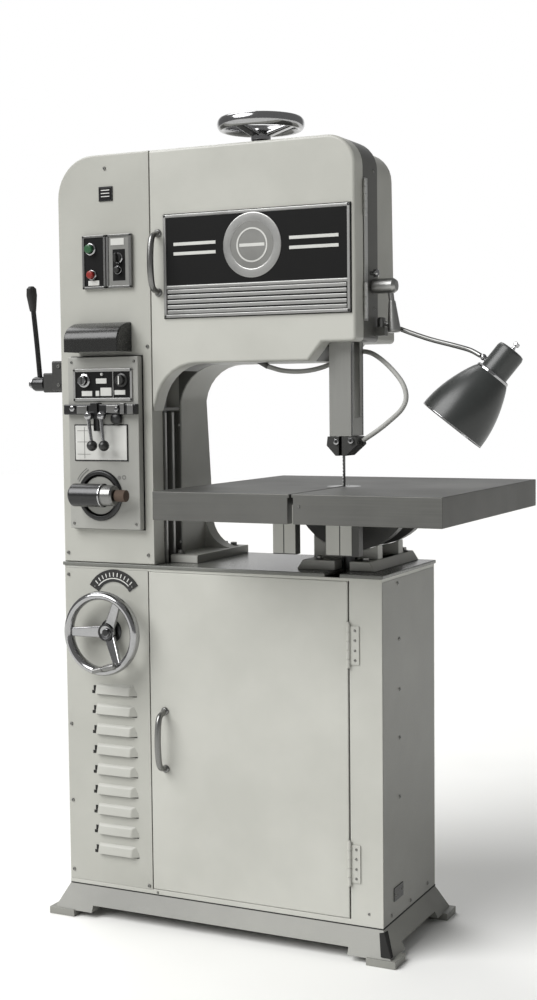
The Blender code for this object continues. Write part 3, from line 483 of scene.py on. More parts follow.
def sheet_with_windows(columns, rows, windows, thick):
    """A flat sheet between columns and rows, without the cells that windows names."""
    work = bmesh.new()
    grid = [[work.verts.new(at(x, 0, z)) for x in columns] for z in rows]
    for r in range(len(rows) - 1):
        for c in range(len(columns) - 1):
            if (c, r) not in windows:
                work.faces.new((grid[r][c], grid[r][c + 1], grid[r + 1][c + 1], grid[r + 1][c]))
    loose = [v for v in work.verts if not v.link_faces]
    bmesh.ops.delete(work, geom=loose, context="VERTS")
    bmesh.ops.recalc_face_normals(work, faces=work.faces)
    bmesh.ops.solidify(work, geom=work.faces, thickness=thick * mm)
    bmesh.ops.translate(work, vec=(0, -min(v.co.y for v in work.verts) + corner.y, 0), verts=work.verts)
    bmesh.ops.recalc_face_normals(work, faces=work.faces)
    bmesh.ops.dissolve_limit(work, angle_limit=math.radians(1), verts=work.verts, edges=work.edges)
    return work


rows = [70]
slits = set()
for low in louvre_low:
    slits.update((c, len(rows)) for c in (2, 3, 4))
    rows += [low + 1, low + 8]
slits.add((3, len(rows)))
rows += [568.5, 592.5, 703]
panel = sheet_with_windows([0.3, 40, 66, 94, 118, 161, 191.7], rows, slits, 2.5)
round_off(panel, 0.7)
show("service_panel_sheet", panel, column_enamel, "frame", ["service_panel"])


def louvre(low):
    """One pressed hood: a sloping front, slanting ends and a thin open lip."""
    left, mid_left, mid_right, far = 68, 71, 148, 164
    work = bmesh.new()
    outer = [at(left, 0, low), at(left + 2, 0, low + 20), at(far - 9, 0, low + 20), at(far, 0, low)]
    inner = [
        at(mid_left, -9, low), at(mid_left, -4, low + 16), at(mid_right, -4, low + 16), at(mid_right, -9, low)
    ]
    ring = [work.verts.new(p) for p in outer]
    crown = [work.verts.new(p) for p in inner]
    work.faces.new(crown)
    for n in range(3):
        work.faces.new((ring[n], ring[n + 1], crown[n + 1], crown[n]))
    bmesh.ops.recalc_face_normals(work, faces=work.faces)
    crown_face = next(f for f in work.faces if len(set(f.verts) & set(crown)) == 4)
    if crown_face.normal.y > 0:
        bmesh.ops.reverse_faces(work, faces=work.faces)
    folds = [e for e in work.edges if len(e.link_faces) == 2]
    bevel(work, folds, 2.2, 3)
    bmesh.ops.solidify(work, geom=work.faces, thickness=1.2 * mm)
    bmesh.ops.recalc_face_normals(work, faces=work.faces)
    return work


louvres = bmesh.new()
for low in louvre_low:
    take_in(louvres, louvre(low))
show("louvre_hoods", louvres, column_enamel, "frame")
# Thin black slabs under each slit and at each louvre's left end: painted shade under the louvres' lips and
# ends.
louvre_shade_slabs = slabs([(at(70, -0.7, low - 2.4), at(162, 0, low + 0.4)) for low in louvre_low], 0.1)
for low in louvre_low:
    take_in(louvre_shade_slabs, slab(at(59.5, -0.7, low - 1), at(67, 0, low + 5), 0.1))
    take_in(louvre_shade_slabs, slab(at(63, -0.7, low + 5.4), at(68.5, 0, low + 15), 0.1))
show("louvre_painted_shade", louvre_shade_slabs, black_felt_and_painted_shade, "frame")
panel_screws = [at(9, 0, z) for z in (689, 387, 231, 89)]
screws("service_panel_screws", [*panel_screws, at(184, 0, 77)], front, 3.8, "frame")

# --- Speed control ----------------------------------------------------------------------------
# A chromed cast handwheel with three flat spokes sets the drive's speed. Its small folding crank
# is turned steel, and an arc-shaped black scale with plain marks is riveted over it.


def turned(profile, place, out, edge=0.0, steps=48):
    """An outline of radius and height in millimetres, spun round a line at place along out."""
    work = bmesh.new()
    line = [work.verts.new((r * mm, 0, h * mm)) for r, h in profile]
    pairs = list(zip(line, line[1:]))
    if profile[0][0] or profile[-1][0]:
        pairs.append((line[-1], line[0]))
    edges = [work.edges.new(pair) for pair in pairs]
    bmesh.ops.spin(
        work, geom=[*line, *edges], cent=(0, 0, 0), axis=(0, 0, 1), dvec=(0, 0, 0), angle=math.tau,
        steps=steps, use_merge=True,
    )
    bmesh.ops.remove_doubles(work, verts=work.verts, dist=0.002 * mm)
    bmesh.ops.recalc_face_normals(work, faces=work.faces)
    if edge:
        round_off(work, edge, 2, 30)
    bmesh.ops.transform(work, matrix=Matrix.Translation(place) @ face_along(out), verts=work.verts)
    return work


def rod(radius, low, high):
    """The outline of a plain round bar between two heights."""
    return [(0, low), (radius, low), (radius, high), (0, high)]


def tube(inner, outer, low, high):
    """The outline of a plain ring between two heights."""
    return [(inner, low), (outer, low), (outer, high), (inner, high)]


def oval(radius, wide, deep, count=16):
    """An oval outline for a rim: wide across the radius and deep along the axis."""
    turns = [math.tau * n / count for n in range(count)]
    return [(radius + wide * math.cos(a), deep * math.sin(a)) for a in turns]


def spoke(inner, outer, wide, deep, rise):
    """A flat bar along X that narrows outwards and rises by rise from the hub to the rim."""
    work = slab(
        Vector((inner, -wide, -deep)) * mm, Vector((outer, wide, deep)) * mm, min(wide, deep) * 0.7, 3
    )
    for v in work.verts:
        along = (v.co.x / mm - inner) / (outer - inner)
        v.co.y *= 1.15 - 0.35 * along
        v.co.z += rise * along * mm
    return work


def handwheel(rim, centre, out, start, hub, dish, half=12):
    """A rim outline, three spokes from a start angle, and a hub of half its height each way, lying
    dish below the rim."""
    work = turned(rim, Vector(), up, 0, 72)
    rim_radius = sum(r for r, _ in rim) / len(rim)
    for n in range(3):
        arm = spoke(hub * 0.7, rim_radius - 3, 10.5, 4.5, dish)
        heading = Matrix.Rotation(math.radians(start + 120 * n), 4, "Z")
        take_in(work, arm, heading @ Matrix.Translation((0, 0, -dish * mm)))
    boss = [
        (0, half), (6, half), (7, half - 3), (hub - 3, half - 1), (hub, half - 4), (hub, 2 - half),
        (hub - 3, -half), (0, -half),
    ]
    take_in(work, turned(boss, up * -dish * mm, up, 0.8))
    bmesh.ops.transform(work, matrix=Matrix.Translation(centre) @ face_along(out), verts=work.verts)
    return work


chrome = bright_metal("polished_chrome_plate", "a3a3a4", "b4b4b5", 0.12, 1.5)
jaw_steel = bright_metal("machined_steel", "7b7b7a", "8d8d8b", 0.3, 1.0)
dark_steel = bright_metal("blued_steel", "3c3c3d", "4a4a4a", 0.28, 1.0)
wheel_rim = oval(75, 8.5, 12.3)
wheel_x, wheel_z = 106, 580.5
speed_wheel = handwheel(wheel_rim, at(wheel_x, -35, wheel_z), front, 180, 17, 21, 8)
take_in(speed_wheel, turned(rod(9, 0, 45), at(wheel_x, 29, wheel_z), front, 1))
take_in(speed_wheel, turned(rod(5, 0, 10.2), at(102, -40, 510), front, 0.6, 20))
show("speed_wheel", speed_wheel, chrome, "speed_handwheel_body", ["speed_handwheel"])
hub_face = turned(rod(6.5, 0, 2), at(wheel_x, -21.6, wheel_z), front, 0.3, 32)
take_in(hub_face, turned(tube(13, 16.8, 0, 1.6), at(wheel_x, -21, wheel_z), front, 0.4, 40))
show("speed_wheel_hub_face", hub_face, dark_steel, "speed_handwheel_body")
bush = [(10, -0.2), (24, -0.2), (24, 2), (20, 4), (14, 4), (10, 3)]
show("speed_shaft_bush", turned(bush, at(wheel_x, 0, wheel_z), front), dark_steel, "frame")
crank_line = Vector((math.cos(math.radians(15)), 0, math.sin(math.radians(15))))
crank = [
    (0, -4.5), (5, -4.5), (5, 17), (3.5, 18), (3.5, 20), (5.5, 21), (6.8, 36), (6.6, 46), (4, 49), (0, 49)
]
crank_grip = turned(crank, at(102, -56, 510), crank_line, 0, 28)
show("crank_grip", crank_grip, jaw_steel, "speed_crank_body", ["speed_crank"])
show("gearbox_case", rounded_copy("speed_gearbox", 0.6), plinth_enamel, "frame", ["speed_gearbox"])


def arc_plate(centre, inner, outer, start, end, low, high, steps=24):
    """A plate between two arcs about a point of the front, from depth low to depth high."""
    work = bmesh.new()
    turns = [math.radians(start + (end - start) * n / steps) for n in range(steps + 1)]
    rings = [[(r * math.cos(a), r * math.sin(a)) for a in turns] for r in (inner, outer)]
    outline = rings[0] + rings[1][::-1]
    face = work.faces.new([work.verts.new(at(centre[0] + x, low, centre[1] + z)) for x, z in outline])
    grown = bmesh.ops.extrude_face_region(work, geom=[face])["geom"]
    moved = [g for g in grown if isinstance(g, bmesh.types.BMVert)]
    bmesh.ops.translate(work, vec=(0, (high - low) * mm, 0), verts=moved)
    bmesh.ops.recalc_face_normals(work, faces=work.faces)
    return work


printed_white = moulded("white_print", "c9c9c5", "d5d5d1", 0.45)
scale_x, scale_z = 115, 638
scale = arc_plate((scale_x, scale_z), 41, 65, 33, 150, -1.6, 0)
round_off(scale, 0.4)
show("speed_scale", scale, black_enamel, "frame")
marks = arc_plate((scale_x, scale_z), 46.5, 48.5, 45, 138, -1.9, -1.4)
for n in range(11):
    mark = arc_plate((scale_x, scale_z), 51, 59, 44.6 + 9 * n, 46.6 + 9 * n, -1.9, -1.4, 1)
    take_in(marks, mark)
show("speed_scale_marks", marks, printed_white, "frame")
rivets = [(53 * math.cos(math.radians(a)), 53 * math.sin(math.radians(a))) for a in (38, 145)]
rivets = [at(scale_x + x, -1.6, scale_z + z) for x, z in rivets]
screws("speed_scale_rivets", rivets, front, 2.2, "frame")

# --- Lower door -------------------------------------------------------------------------------
# A folded sheet door with a rolled rim, a chromed bow pull on its left and two screwed-on butt
# hinges on the fixed strip to its right. A drawn-steel pin turns in each hinge.

lower_door = rounded_copy("lower_door", 0.9, 2, 2.5)
show("lower_door_sheet", lower_door, sheet_enamel, "lower_door_body", ["lower_door"])


def bow_pull(x, low, high):
    """A bow of round bar, thicker in the middle, on two turned feet."""
    route = [at(x, -1.5, low), at(x, -23, low + 9), at(x, -30, low + 38)]
    route += [at(x, -30, high - 38), at(x, -23, high - 9), at(x, -1.5, high)]
    swell = [5.0 + 1.3 * math.sin(math.pi * n / 30) for n in range(31)]
    work = sweep(curve_through(route, 30), swell, 20)
    for z in (low, high):
        foot = [(0, 0.3), (8, 0.3), (8, 2.5), (6, 5), (0, 5)]
        take_in(work, turned(foot, at(x, 0, z), front, 0.6, 24))
    return work


show("lower_pull", bow_pull(226, 316, 430), jaw_steel, "lower_door_body", ["lower_handle"])


def knuckle_parts(work, x, y, low, high):
    """Adds the five turned lengths of a hinge's upright knuckle, with a fine gap between them."""
    part = (high - low) / 5
    for n in range(5):
        take_in(work, turned(rod(3.9, 0.3, part - 0.3), at(x, y, low + n * part), up, 0.5, 20))


def butt_hinge(low, high):
    """The fixed leaf, the five-part knuckle and its pin."""
    work = slab(at(617.5, -2.6, low + 6), at(636, -0.3, high - 6), 0.5)
    knuckle_parts(work, 615, -4, low, high)
    take_in(work, turned(rod(2.4, -1, high - low + 2), at(615, -4, low), up, 0.6, 16))
    return work


for piece, node, low, high in (
    ("upper_butt_hinge", "lower_hinge_top", 543, 626),
    ("lower_butt_hinge", "lower_hinge_bottom", 136, 219),
):
    show(piece, butt_hinge(low, high), sheet_enamel, "frame", [node])
    places = [at(628, -2.6, z) for z in (low + 14, low + 32, high - 32, high - 14)]
    screws(piece + "_screws", places, front, 2.6, "frame")
screws("strip_screws", [at(652, 0, 86), at(203, 0, 66)], front, 2.6, "frame")

# --- Column cover -----------------------------------------------------------------------------
# One folded sheet closes the front, left side and top of the column. Its front rim is rolled to a
# small radius; screws hold it and a small window near the top shows the tension scale.

door_seam = 208  # where the cover and the upper door meet
column_cover = rounded_copy("column_cover", 0.6, 2, 3.5, door_seam)
show("column_cover_sheet", column_cover, column_enamel, "frame", ["column_cover"])
cover_screws = [at(10, 0, 733), at(194, 0, 734), at(199, 0, 1138), at(109, 0, 1483)]
screws("column_cover_screws", cover_screws, front, 3.8, "frame")
window = slab(at(96, -2.2, 1420), at(127, 0, 1448), 0.7)
show("scale_window_frame", window, dark_steel, "frame")
show("scale_window", slab(at(99, -2.8, 1423), at(124, -2.0, 1445), 0.3), black_enamel, "frame")
window_lines = slabs([(at(102, -3.1, z), at(121, -2.7, z + 1.6)) for z in (1428, 1434, 1440)], 0.1)
show("scale_window_lines", window_lines, printed_white, "frame")

# --- Switch panel -----------------------------------------------------------------------------
# Two small plates in steel frames stand on the column: a black one with the start and stop
# buttons, and a grey one with a selector and a jog button. The buttons are moulded plastic.

button_green = moulded("green_button_plastic", "1f4a2c", "265534", 0.3)
button_red = moulded("red_button_plastic", "7a1c17", "87231c", 0.3)
button_black = moulded("black_button_plastic", "1b1b1b", "242423", 0.3)
grey_print = moulded("grey_printed_plate", "6d6d6a", "7a7a77", 0.45)
black_print = moulded("matt_black_print", "0a0a0a", "101010", 0.7)
black_print.node_tree.nodes["Principled BSDF"].inputs["Specular IOR Level"].default_value = 0.2
light_plate = moulded("pale_label_plate", "bdbdb9", "c8c8c4", 0.4)

switch_frame = slabs([
    (at(59, -5, 1252), at(112, -0.3, 1355)), (at(113.5, -5, 1252), at(170, -0.3, 1355)),
], 1.2)
for x, x_end in ((59, 64), (107, 112), (113.5, 119), (164.5, 170)):
    take_in(switch_frame, slab(at(x, -7.5, 1252), at(x_end, -4, 1355), 0.8))
for x, x_end in ((59, 112), (113.5, 170)):
    for z, z_end in ((1252, 1256.5), (1350.5, 1355)):
        take_in(switch_frame, slab(at(x, -7.5, z), at(x_end, -4, z_end), 0.8))
show("switch_frames", switch_frame, jaw_steel, "frame", ["switch_plate"])
show("switch_black_field", slab(at(64, -6, 1256.5), at(107, -4.6, 1350.5), 0.3), black_print, "frame")
show("switch_grey_field", slab(at(119, -6, 1256.5), at(164.5, -4.6, 1350.5), 0.3), grey_print, "frame")
show("selector_field", slab(at(128, -6.6, 1266), at(156, -5.6, 1326), 0.6), black_print, "frame")
switch_labels = slabs([
    (at(72, -6.8, 1258.5), at(97, -5.6, 1268)), (at(124, -6.8, 1334), at(154, -5.6, 1347)),
], 0.3)
show("switch_labels", switch_labels, light_plate, "frame")
collars = bmesh.new()
for x, z, radius, hole in (
    (78, 1329, 12.5, 9.3), (81, 1279, 10.5, 8.2), (141, 1286, 8.8, 7.0), (141, 1309, 10.5, 5.6),
):
    ring = [(hole, 0), (radius, 0), (radius, 2), (max(radius - 2, hole + 0.8), 4), (hole, 4)]
    take_in(collars, turned(ring, at(x, -6, z), front, 0.5, 32))
show("button_collars", collars, chrome, "frame")
for node, x, z, radius, look in (
    ("start_button", 78, 1329, 8.6, button_green),
    ("stop_button", 81, 1279, 7.6, button_red),
    ("jog_button", 141, 1286, 6.4, button_black),
):
    cap = [(0, 5), (radius, 5), (radius, 11.5), (radius * 0.7, 13), (0, 13)]
    show(node + "_cap", turned(cap, at(x, -5, z), front, 0.7, 32), look, node + "_body", [node])
knob = turned([(0, 0), (5, 0), (5, 5), (9, 5), (8.4, 9), (0, 9)], at(141, -5, 1309), front, 0.6, 32)
take_in(knob, slab(at(138.5, -21, 1300), at(143.5, -12, 1318), 1.5, 3))
show("selector_handle", knob, button_black, "selector_body", ["selector_knob"])

# --- Light hood -------------------------------------------------------------------------------
# A pressed steel hood, gloss black, screwed to the column over the welder so that its light falls
# on the jaws. It is a quarter of a tube with closed ends, open below.

hood_turns = [math.radians(90 * n / 24) for n in range(25)]


def hood_section(deep, low, high):
    """The hood's curve from the column at the top to its lower lip: depth and height."""
    return [(-0.3 - deep * math.sin(a), low + 22 + (high - low - 22) * math.cos(a)) for a in hood_turns]


def hood_sheet():
    """The curved sheet, its straight lip and both ends, as one skin that is then thickened."""
    work = bmesh.new()
    section = [*hood_section(53.5, 1129, 1186), (-53.8, 1129)]
    sides = [[work.verts.new(at(x, y, z)) for y, z in section] for x in (42, 164)]
    for n in range(len(section) - 1):
        work.faces.new((sides[0][n], sides[0][n + 1], sides[1][n + 1], sides[1][n]))
    for x, line in zip((42, 164), sides):
        foot = work.verts.new(at(x, -0.3, 1129))
        work.faces.new([*line, foot])
    bmesh.ops.recalc_face_normals(work, faces=work.faces)
    if max(work.faces, key=lambda f: f.calc_center_median().z).normal.z < 0:
        bmesh.ops.reverse_faces(work, faces=work.faces)
    folds = [e for e in work.edges if len(e.link_faces) == 2 and e.calc_face_angle() > 1]
    bevel(work, folds, 3, 4)
    bmesh.ops.solidify(work, geom=work.faces, thickness=1.5 * mm)
    bmesh.ops.recalc_face_normals(work, faces=work.faces)
    return work


hood_enamel = enamel("black_hood_enamel", "171716", "1f1f1e", 0.26, 2.0, 0.05, "5a5a58")
show("light_hood_sheet", hood_sheet(), hood_enamel, "frame", ["lamp_hood"])

# --- Butt welder ------------------------------------------------------------------------------
# A grey sheet box let into the column. Its black instrument panel carries two knobs and labels,
# two levers work the clamps under a steel bar, and a small grinder sits at the bottom.

aluminium = bright_metal("satin_aluminium_frame", "9b9b99", "adadab", 0.35, 0.9, (1, 1, 12))
box_enamel = enamel("welder_box_enamel", "92928d", "9c9c97", 0.33, 2.2, 0.12, "c4c4bf")
case = slab(at(27, -17, 784), at(187, -0.3, 1120), 1.8, 3)
show("welder_gasket", slab(at(25.2, -2.5, 782.3), at(188.8, -0.3, 1121.7), 0.4), black_print, "frame")
show("welder_case", case, box_enamel, "frame", ["welder_box"])
case_screws = [at(36, -17, 1110), at(178, -17, 1110), at(36, -17, 794), at(178, -17, 795)]
screws("welder_case_screws", case_screws, front, 3.0, "frame")
bezel = slabs([
    (at(41, -20, 1034), at(175, -16.5, 1040)), (at(41, -20, 1091), at(175, -16.5, 1097)),
    (at(41, -20, 1034), at(46, -16.5, 1097)), (at(170, -20, 1034), at(175, -16.5, 1097)),
], 0.8)
show("instrument_bezel", bezel, aluminium, "frame")
show("instrument_field", slab(at(46, -18.5, 1040), at(170, -16.5, 1091), 0.3), black_print, "frame")
labels = slabs([
    (at(93, -19.2, 1068), at(117, -18, 1078)), (at(60, -19.2, 1044), at(84, -18, 1054)),
    (at(92, -19.2, 1044), at(100, -18, 1054)), (at(103, -19.2, 1044), at(128, -18, 1060)),
    (at(135, -19.2, 1046), at(159, -18, 1055)),
], 0.2)
show("instrument_labels", labels, light_plate, "frame")
show("instrument_divider", slabs([(at(131, -19.4, 1040), at(132.6, -18, 1091))], 0.2), aluminium, "frame")
for name, x in (("heat_knob", 66), ("pressure_knob", 151)):
    grip = [(0, 0), (13.5, 0), (13.5, 2), (10, 3), (9.5, 10), (8.5, 11.5), (0, 11.5)]
    show(name, turned(grip, at(x, -18.5, 1074), front, 0.5, 36), chrome if x < 100 else button_black, "frame")
    cap = slab(at(x - 1.2, -30.8, 1066), at(x + 1.2, -29.5, 1082), 0.3)
    show(name + "_mark", cap, button_black if x < 100 else printed_white, "frame")
lens = turned([(0, 0), (3, 0), (3, 2.5), (1.6, 4), (0, 4)], at(107, -18.5, 1086), front, 0.4, 20)
show("pilot_lens", lens, light_plate, "frame")

bar = slab(at(24, -30, 1008), at(188, -16.5, 1028), 2.2, 3)
take_in(bar, slab(at(88, -34, 1000), at(104, -16.5, 1031), 1.2))
take_in(bar, slab(at(94, -33, 976), at(106, -19, 1010), 1.2))
show("jaw_bar", bar, dark_steel, "frame")
jaws = slabs([
    (at(124, -34, 1011), at(150, -22, 1026)), (at(154, -33, 1009), at(164, -22, 1030)),
    (at(170, -33, 1009), at(184, -22, 1027)), (at(56, -33, 1010), at(80, -22, 1025)),
], 1.2)
show("jaw_blocks", jaws, jaw_steel, "frame")
jaw_bolts = turned([(0, 0), (6.5, 0), (6.5, 5), (4, 6.5), (0, 6.5)], at(46, -29, 1020), front, 0.6, 6)
take_in(jaw_bolts, turned(rod(5, 0, 3), at(148, -33.5, 1018), front, 0.6, 6))
show("jaw_bolts", jaw_bolts, chrome, "frame")
plate_edge = slab(at(41, -18.6, 917), at(163, -16.5, 989), 0.8, 2)
show("jaw_chart_border", plate_edge, black_enamel, "frame")
show("jaw_chart", slab(at(43.5, -19.2, 919.5), at(160.5, -17, 986.5), 0.4), light_plate, "frame")
lines = slabs([(at(48, -19.6, z), at(78, -18.9, z + 0.9)) for z in (976, 954, 930)], 0.1)
take_in(lines, slab(at(64, -19.6, 922), at(65, -18.9, 984), 0.1))
show("jaw_chart_lines", lines, grey_print, "frame")
knob_line = [(0, 0), (11, 0), (12.5, 4), (11, 9), (7, 11.5), (0, 12)]
show("current_knob", turned(knob_line, at(140, -17.5, 1000), front, 0.6, 36), button_black, "frame")
for node, x, lean in (("weld_lever_left", 88, 8), ("weld_lever_right", 117, 6)):
    hub = turned([(0, 0), (8, 0), (8, 10), (5, 13), (0, 13)], at(x, -34.3, 1006), front, 0.8, 32)
    arm_line = [at(x, -42, 1006), at(x + lean * 0.5, -42, 976), at(x + lean, -42, 950)]
    take_in(hub, sweep(arm_line, [4, 3.6, 3.4], 16))
    show(node + "_arm", hub, chrome, node + "_body", [node])
    ball = bmesh.new()
    bmesh.ops.create_uvsphere(ball, u_segments=32, v_segments=20, radius=10.5 * mm)
    bmesh.ops.translate(ball, vec=at(x + lean, -42, 948), verts=ball.verts)
    show(node + "_ball", ball, button_black, node + "_body")

ring = [(37, 0), (50, 0), (50, 3), (47, 6), (41, 6), (37, 3)]
show("grinder_ring", turned(ring, at(98, -17, 850), front, 0.8, 72), dark_steel, "frame")
dish = turned([(0, 0), (37.5, 0), (37.5, 2), (0, 2.5)], at(98, -17, 850), front, 0, 48)
show("grinder_dish", dish, box_enamel, "frame")
casing = [(0, 0), (18, 0), (22.5, 5), (22.5, 70), (0, 70)]
motor = turned(casing, at(50.5, -45, 852), side, 0.8, 48)
show("grinder_casing", motor, dark_steel, "frame", ["grinder_motor"])
collar = turned(tube(10, 23.2, 0, 3), at(120.5, -45, 852), side, 0.5, 48)
show("grinder_collar", collar, chrome, "frame")
nose = [(0, 0), (20, 0), (20, 22), (17, 26), (0, 26)]
show("grinder_nose", turned(nose, at(123.5, -45, 852), side, 0.8, 48), jaw_steel, "frame")
stand = slab(at(78, -40, 838), at(112, -18, 866), 2)
show("grinder_stand", stand, dark_steel, "frame")
abrasive = moulded("brown_fused_abrasive", "4d3f35", "5f4f43", 0.85, 0.5, 0.3)
stone = turned(rod(11.4, 0, 22), at(151.4, -45, 852), side, 0.5, 40)
show("grinding_stone", stone, abrasive, "grinder_wheel_body", ["grinder_wheel"])
grind_marks = arc_plate((98, 850), 55, 57.5, 118, 152, -17.5, -16.6, 12)
take_in(grind_marks, arc_plate((98, 850), 60, 61.5, 120, 150, -17.5, -16.6, 12))
take_in(grind_marks, arc_plate((141, 885), 0.1, 4, 0, 350, -17.5, -16.6, 16))
take_in(grind_marks, arc_plate((152, 886), 2.5, 4.5, 0, 350, -17.5, -16.6, 16))
show("grinder_marks", grind_marks, grey_print, "frame")

# --- Blade shear ------------------------------------------------------------------------------
# A cast bracket bolted to the column's left side holds the shear. A long steel lever with a black
# grip works it, and a light nut closes the end of its shaft.

bracket_enamel = enamel("black_bracket_enamel", "2b2b2a", "363634", 0.4, 2.5, 0.3, "6a6a67")
show("shear_casting", rounded_copy("shear_bracket", 0.8), bracket_enamel, "frame", ["shear_bracket"])
screws("shear_bolts", [at(x, 70, z) for x in (-14, -52) for z in (1067, 1105)], front, 4.5, "frame")
lever = turned([(0, 0), (15, 0), (15, 24), (12, 30), (0, 30)], at(-97.3, 91, 1070), -side, 1.2, 40)
lever_line = [at(-112, 91, 1080), at(-118, 91, 1150), at(-126, 91, 1228)]
take_in(lever, sweep(curve_through(lever_line, 12), 5.2, 20))
show("shear_arm", lever, dark_steel, "shear_lever_body", ["shear_lever"])
nut = turned(rod(9, 0, 8), at(-127.3, 91, 1070), -side, 0.8, 6)
show("shear_nut", nut, chrome, "shear_lever_body")
grip_line = [
    at(-126, 91, 1220), at(-126.6, 91, 1226), at(-128.5, 91, 1252), at(-129.2, 91, 1266),
    at(-129.4, 91, 1271),
]
show("shear_grip", sweep(grip_line, [6.5, 7.5, 11, 10, 5], 28), button_black, "shear_lever_body")

# --- Frame casting and blade channel ----------------------------------------------------------
# The C-shaped frame is a heavy iron casting in grey enamel behind the covers, bolted down by its
# foot. A folded steel channel covers the blade's return run up the throat.

frame_enamel = enamel("frame_enamel_on_cast_iron", "9c9c96", "a8a8a2", 0.42, 3.2, 0.4)
channel_enamel = enamel("dark_channel_enamel", "4a4a47", "565652", 0.35, 2.2, 0.15, "8a8a86")
# Pale enamel for the cradles, also used as painted light on the foot's front and the trunnion's rib fronts.
pale_enamel_and_painted_light = enamel("pale_enamel_and_painted_light", "b4b4ae", "bebeb8", 0.4, 3.0, 0.3)
show("frame_casting", rounded_copy("column_casting", 2.0, 2), frame_enamel, "frame", ["column_casting"])
show("channel_sheet", rounded_copy("blade_channel", 0.8), channel_enamel, "frame", ["blade_channel"])
# Bright aluminium strips on the channel's side: painted highlights where its rolled edges catch the light.
strips = slabs([(at(209, 44, 716), at(210.6, 50, 1010)), (at(209, 72, 716), at(210.6, 79, 1010))], 0.4)
show("channel_edge_painted_highlight", strips, aluminium, "frame")
screws("channel_screws", [at(209, 101, z) for z in (752, 985)], side, 3.0, "frame")


def bolts(name, places, z, washer, head, high):
    """Hexagon heads on round washers, from their radii and their height over the face at z."""
    work = bmesh.new()
    for x, y in places:
        take_in(work, turned(rod(washer, 0, 1.6), at(x, y, z), up, 0.4, 28))
        take_in(work, turned(rod(head, 1.6, high), at(x, y, z), up, 0.9, 6))
    show(name, work, screw_steel, "frame")


bolts("foot_bolts", ((225, 74), (252, 250), (225, 262)), 731, 10, 7.4, 8)
# A thin slab of paler enamel on the foot's front face: painted light.
show("foot_front_painted_light", slab(at(211, 57.2, 716), at(270.5, 58, 729), 0.3), pale_enamel_and_painted_light, "frame")

# --- Head: housing, door and name plate -------------------------------------------------------
# The upper wheel turns in a sheet housing whose whole front is a door. The door has a rolled rim,
# a bow pull and a long silver plate with a black field, a plain round badge and five ribs.

# The housing is painted darker than the door, as painted shade on its right-hand side.
housing_painted_shade_enamel = enamel("housing_painted_shade_enamel", "50504d", "5a5a56", 0.36, 2.4, 0.15, "9c9c98")
show("head_housing", rounded_copy("wheel_housing", 1.3, 3), housing_painted_shade_enamel, "frame", ["wheel_housing"])
upper_door = rounded_copy("upper_door", 0.6, 2, 6.0, door_seam)
show("upper_door_sheet", upper_door, sheet_enamel, "upper_door_body", ["upper_door"])
show("upper_pull", bow_pull(226, 1240, 1352), jaw_steel, "upper_door_body", ["upper_handle"])
plate = slab(at(240, -3.2, 1191), at(624, -0.3, 1385), 0.8)
border = slab(at(238.3, -2, 1189.3), at(625.7, -0.3, 1386.7), 0.4)
show("name_plate_border", border, black_print, "upper_door_body")
show("name_plate_sheet", plate, aluminium, "upper_door_body", ["name_plate"])
rim_strips = slabs([
    (at(240, -5, 1191), at(245.5, -2.8, 1385)), (at(618.5, -5, 1191), at(624, -2.8, 1385)),
    (at(240, -5, 1379.5), at(624, -2.8, 1385)), (at(240, -5, 1191), at(624, -2.8, 1196.5)),
    (at(245, -4.6, 1246), at(619, -2.8, 1251)),
], 0.9)
for n in range(5):
    take_in(rim_strips, slab(at(247, -4.4, 1198.3 + 9.6 * n), at(617, -2.8, 1205 + 9.6 * n), 0.9))
show("name_plate_ribs", rim_strips, aluminium, "upper_door_body")
show("name_plate_field", slab(at(246, -3.8, 1252), at(618, -3.0, 1379), 0.2), black_print, "upper_door_body")
show("name_plate_band", slab(at(246, -3.6, 1197), at(618, -3.0, 1245), 0.2), black_print, "upper_door_body")
badge_middle = at(428, -3.6, 1320)
badge_line = [(44, 0), (60, 0), (60, 1.0), (58, 1.6), (46, 1.6), (44, 1.0)]
show("badge_ring", turned(badge_line, badge_middle, front, 0.2, 96), aluminium, "upper_door_body")
show("badge_disc", turned(rod(44, 0, 0.8), badge_middle, front, 0, 96), grey_print, "upper_door_body")
inner_ring = turned(tube(29, 32, 0, 1.3), badge_middle, front, 0.2, 72)
take_in(inner_ring, slab(at(402, -4.9, 1317), at(454, -3.6, 1323), 0.2))
show("badge_inner_ring", inner_ring, light_plate, "upper_door_body")
bars = slabs([
    (at(262, -4.5, 1326), at(352, -3.6, 1332)), (at(262, -4.5, 1308), at(352, -3.6, 1314)),
    (at(504, -4.5, 1326), at(602, -3.6, 1332)), (at(504, -4.5, 1308), at(602, -3.6, 1314)),
], 0.2)
show("plain_bars", bars, light_plate, "upper_door_body")
strip = slab(at(632.4, 40.5, 1176), at(634.4, 56, 1434), 0.4)
for low, high in ((1180, 1245), (1365, 1430)):
    knuckle_parts(strip, 636.5, 39, low, high)
    take_in(strip, slab(at(633, 39, low + 1), at(636, 46, high - 1), 0.3))
hinge_nickel = bright_metal("nickel_plated_hinge", "c4c4c2", "d2d2d0", 0.42)
show("head_hinge", strip, hinge_nickel, "frame", ["upper_hinge"])
hinge_screws = [at(634.4, 51, z) for z in (1186, 1212, 1238, 1372, 1398, 1424)]
screws("head_hinge_screws", hinge_screws, side, 2.4, "frame")
screws("head_side_screws", [at(632, 92, 1452), at(632, 92, 1200)], side, 3.2, "frame")
thumb_line = [(0, 0), (4, 0), (4, 6), (7, 7), (7.6, 14), (5, 16), (0, 16)]
thumb_screw = turned(thumb_line, at(632, 74, 1264), side, 0.5, 28)
show("housing_thumb_screw", thumb_screw, chrome, "frame")

# --- Tension handwheel ------------------------------------------------------------------------
# A polished cast handwheel on top of the head turns the screw that lifts the upper wheel.
# The screw runs down through a bush in the housing.

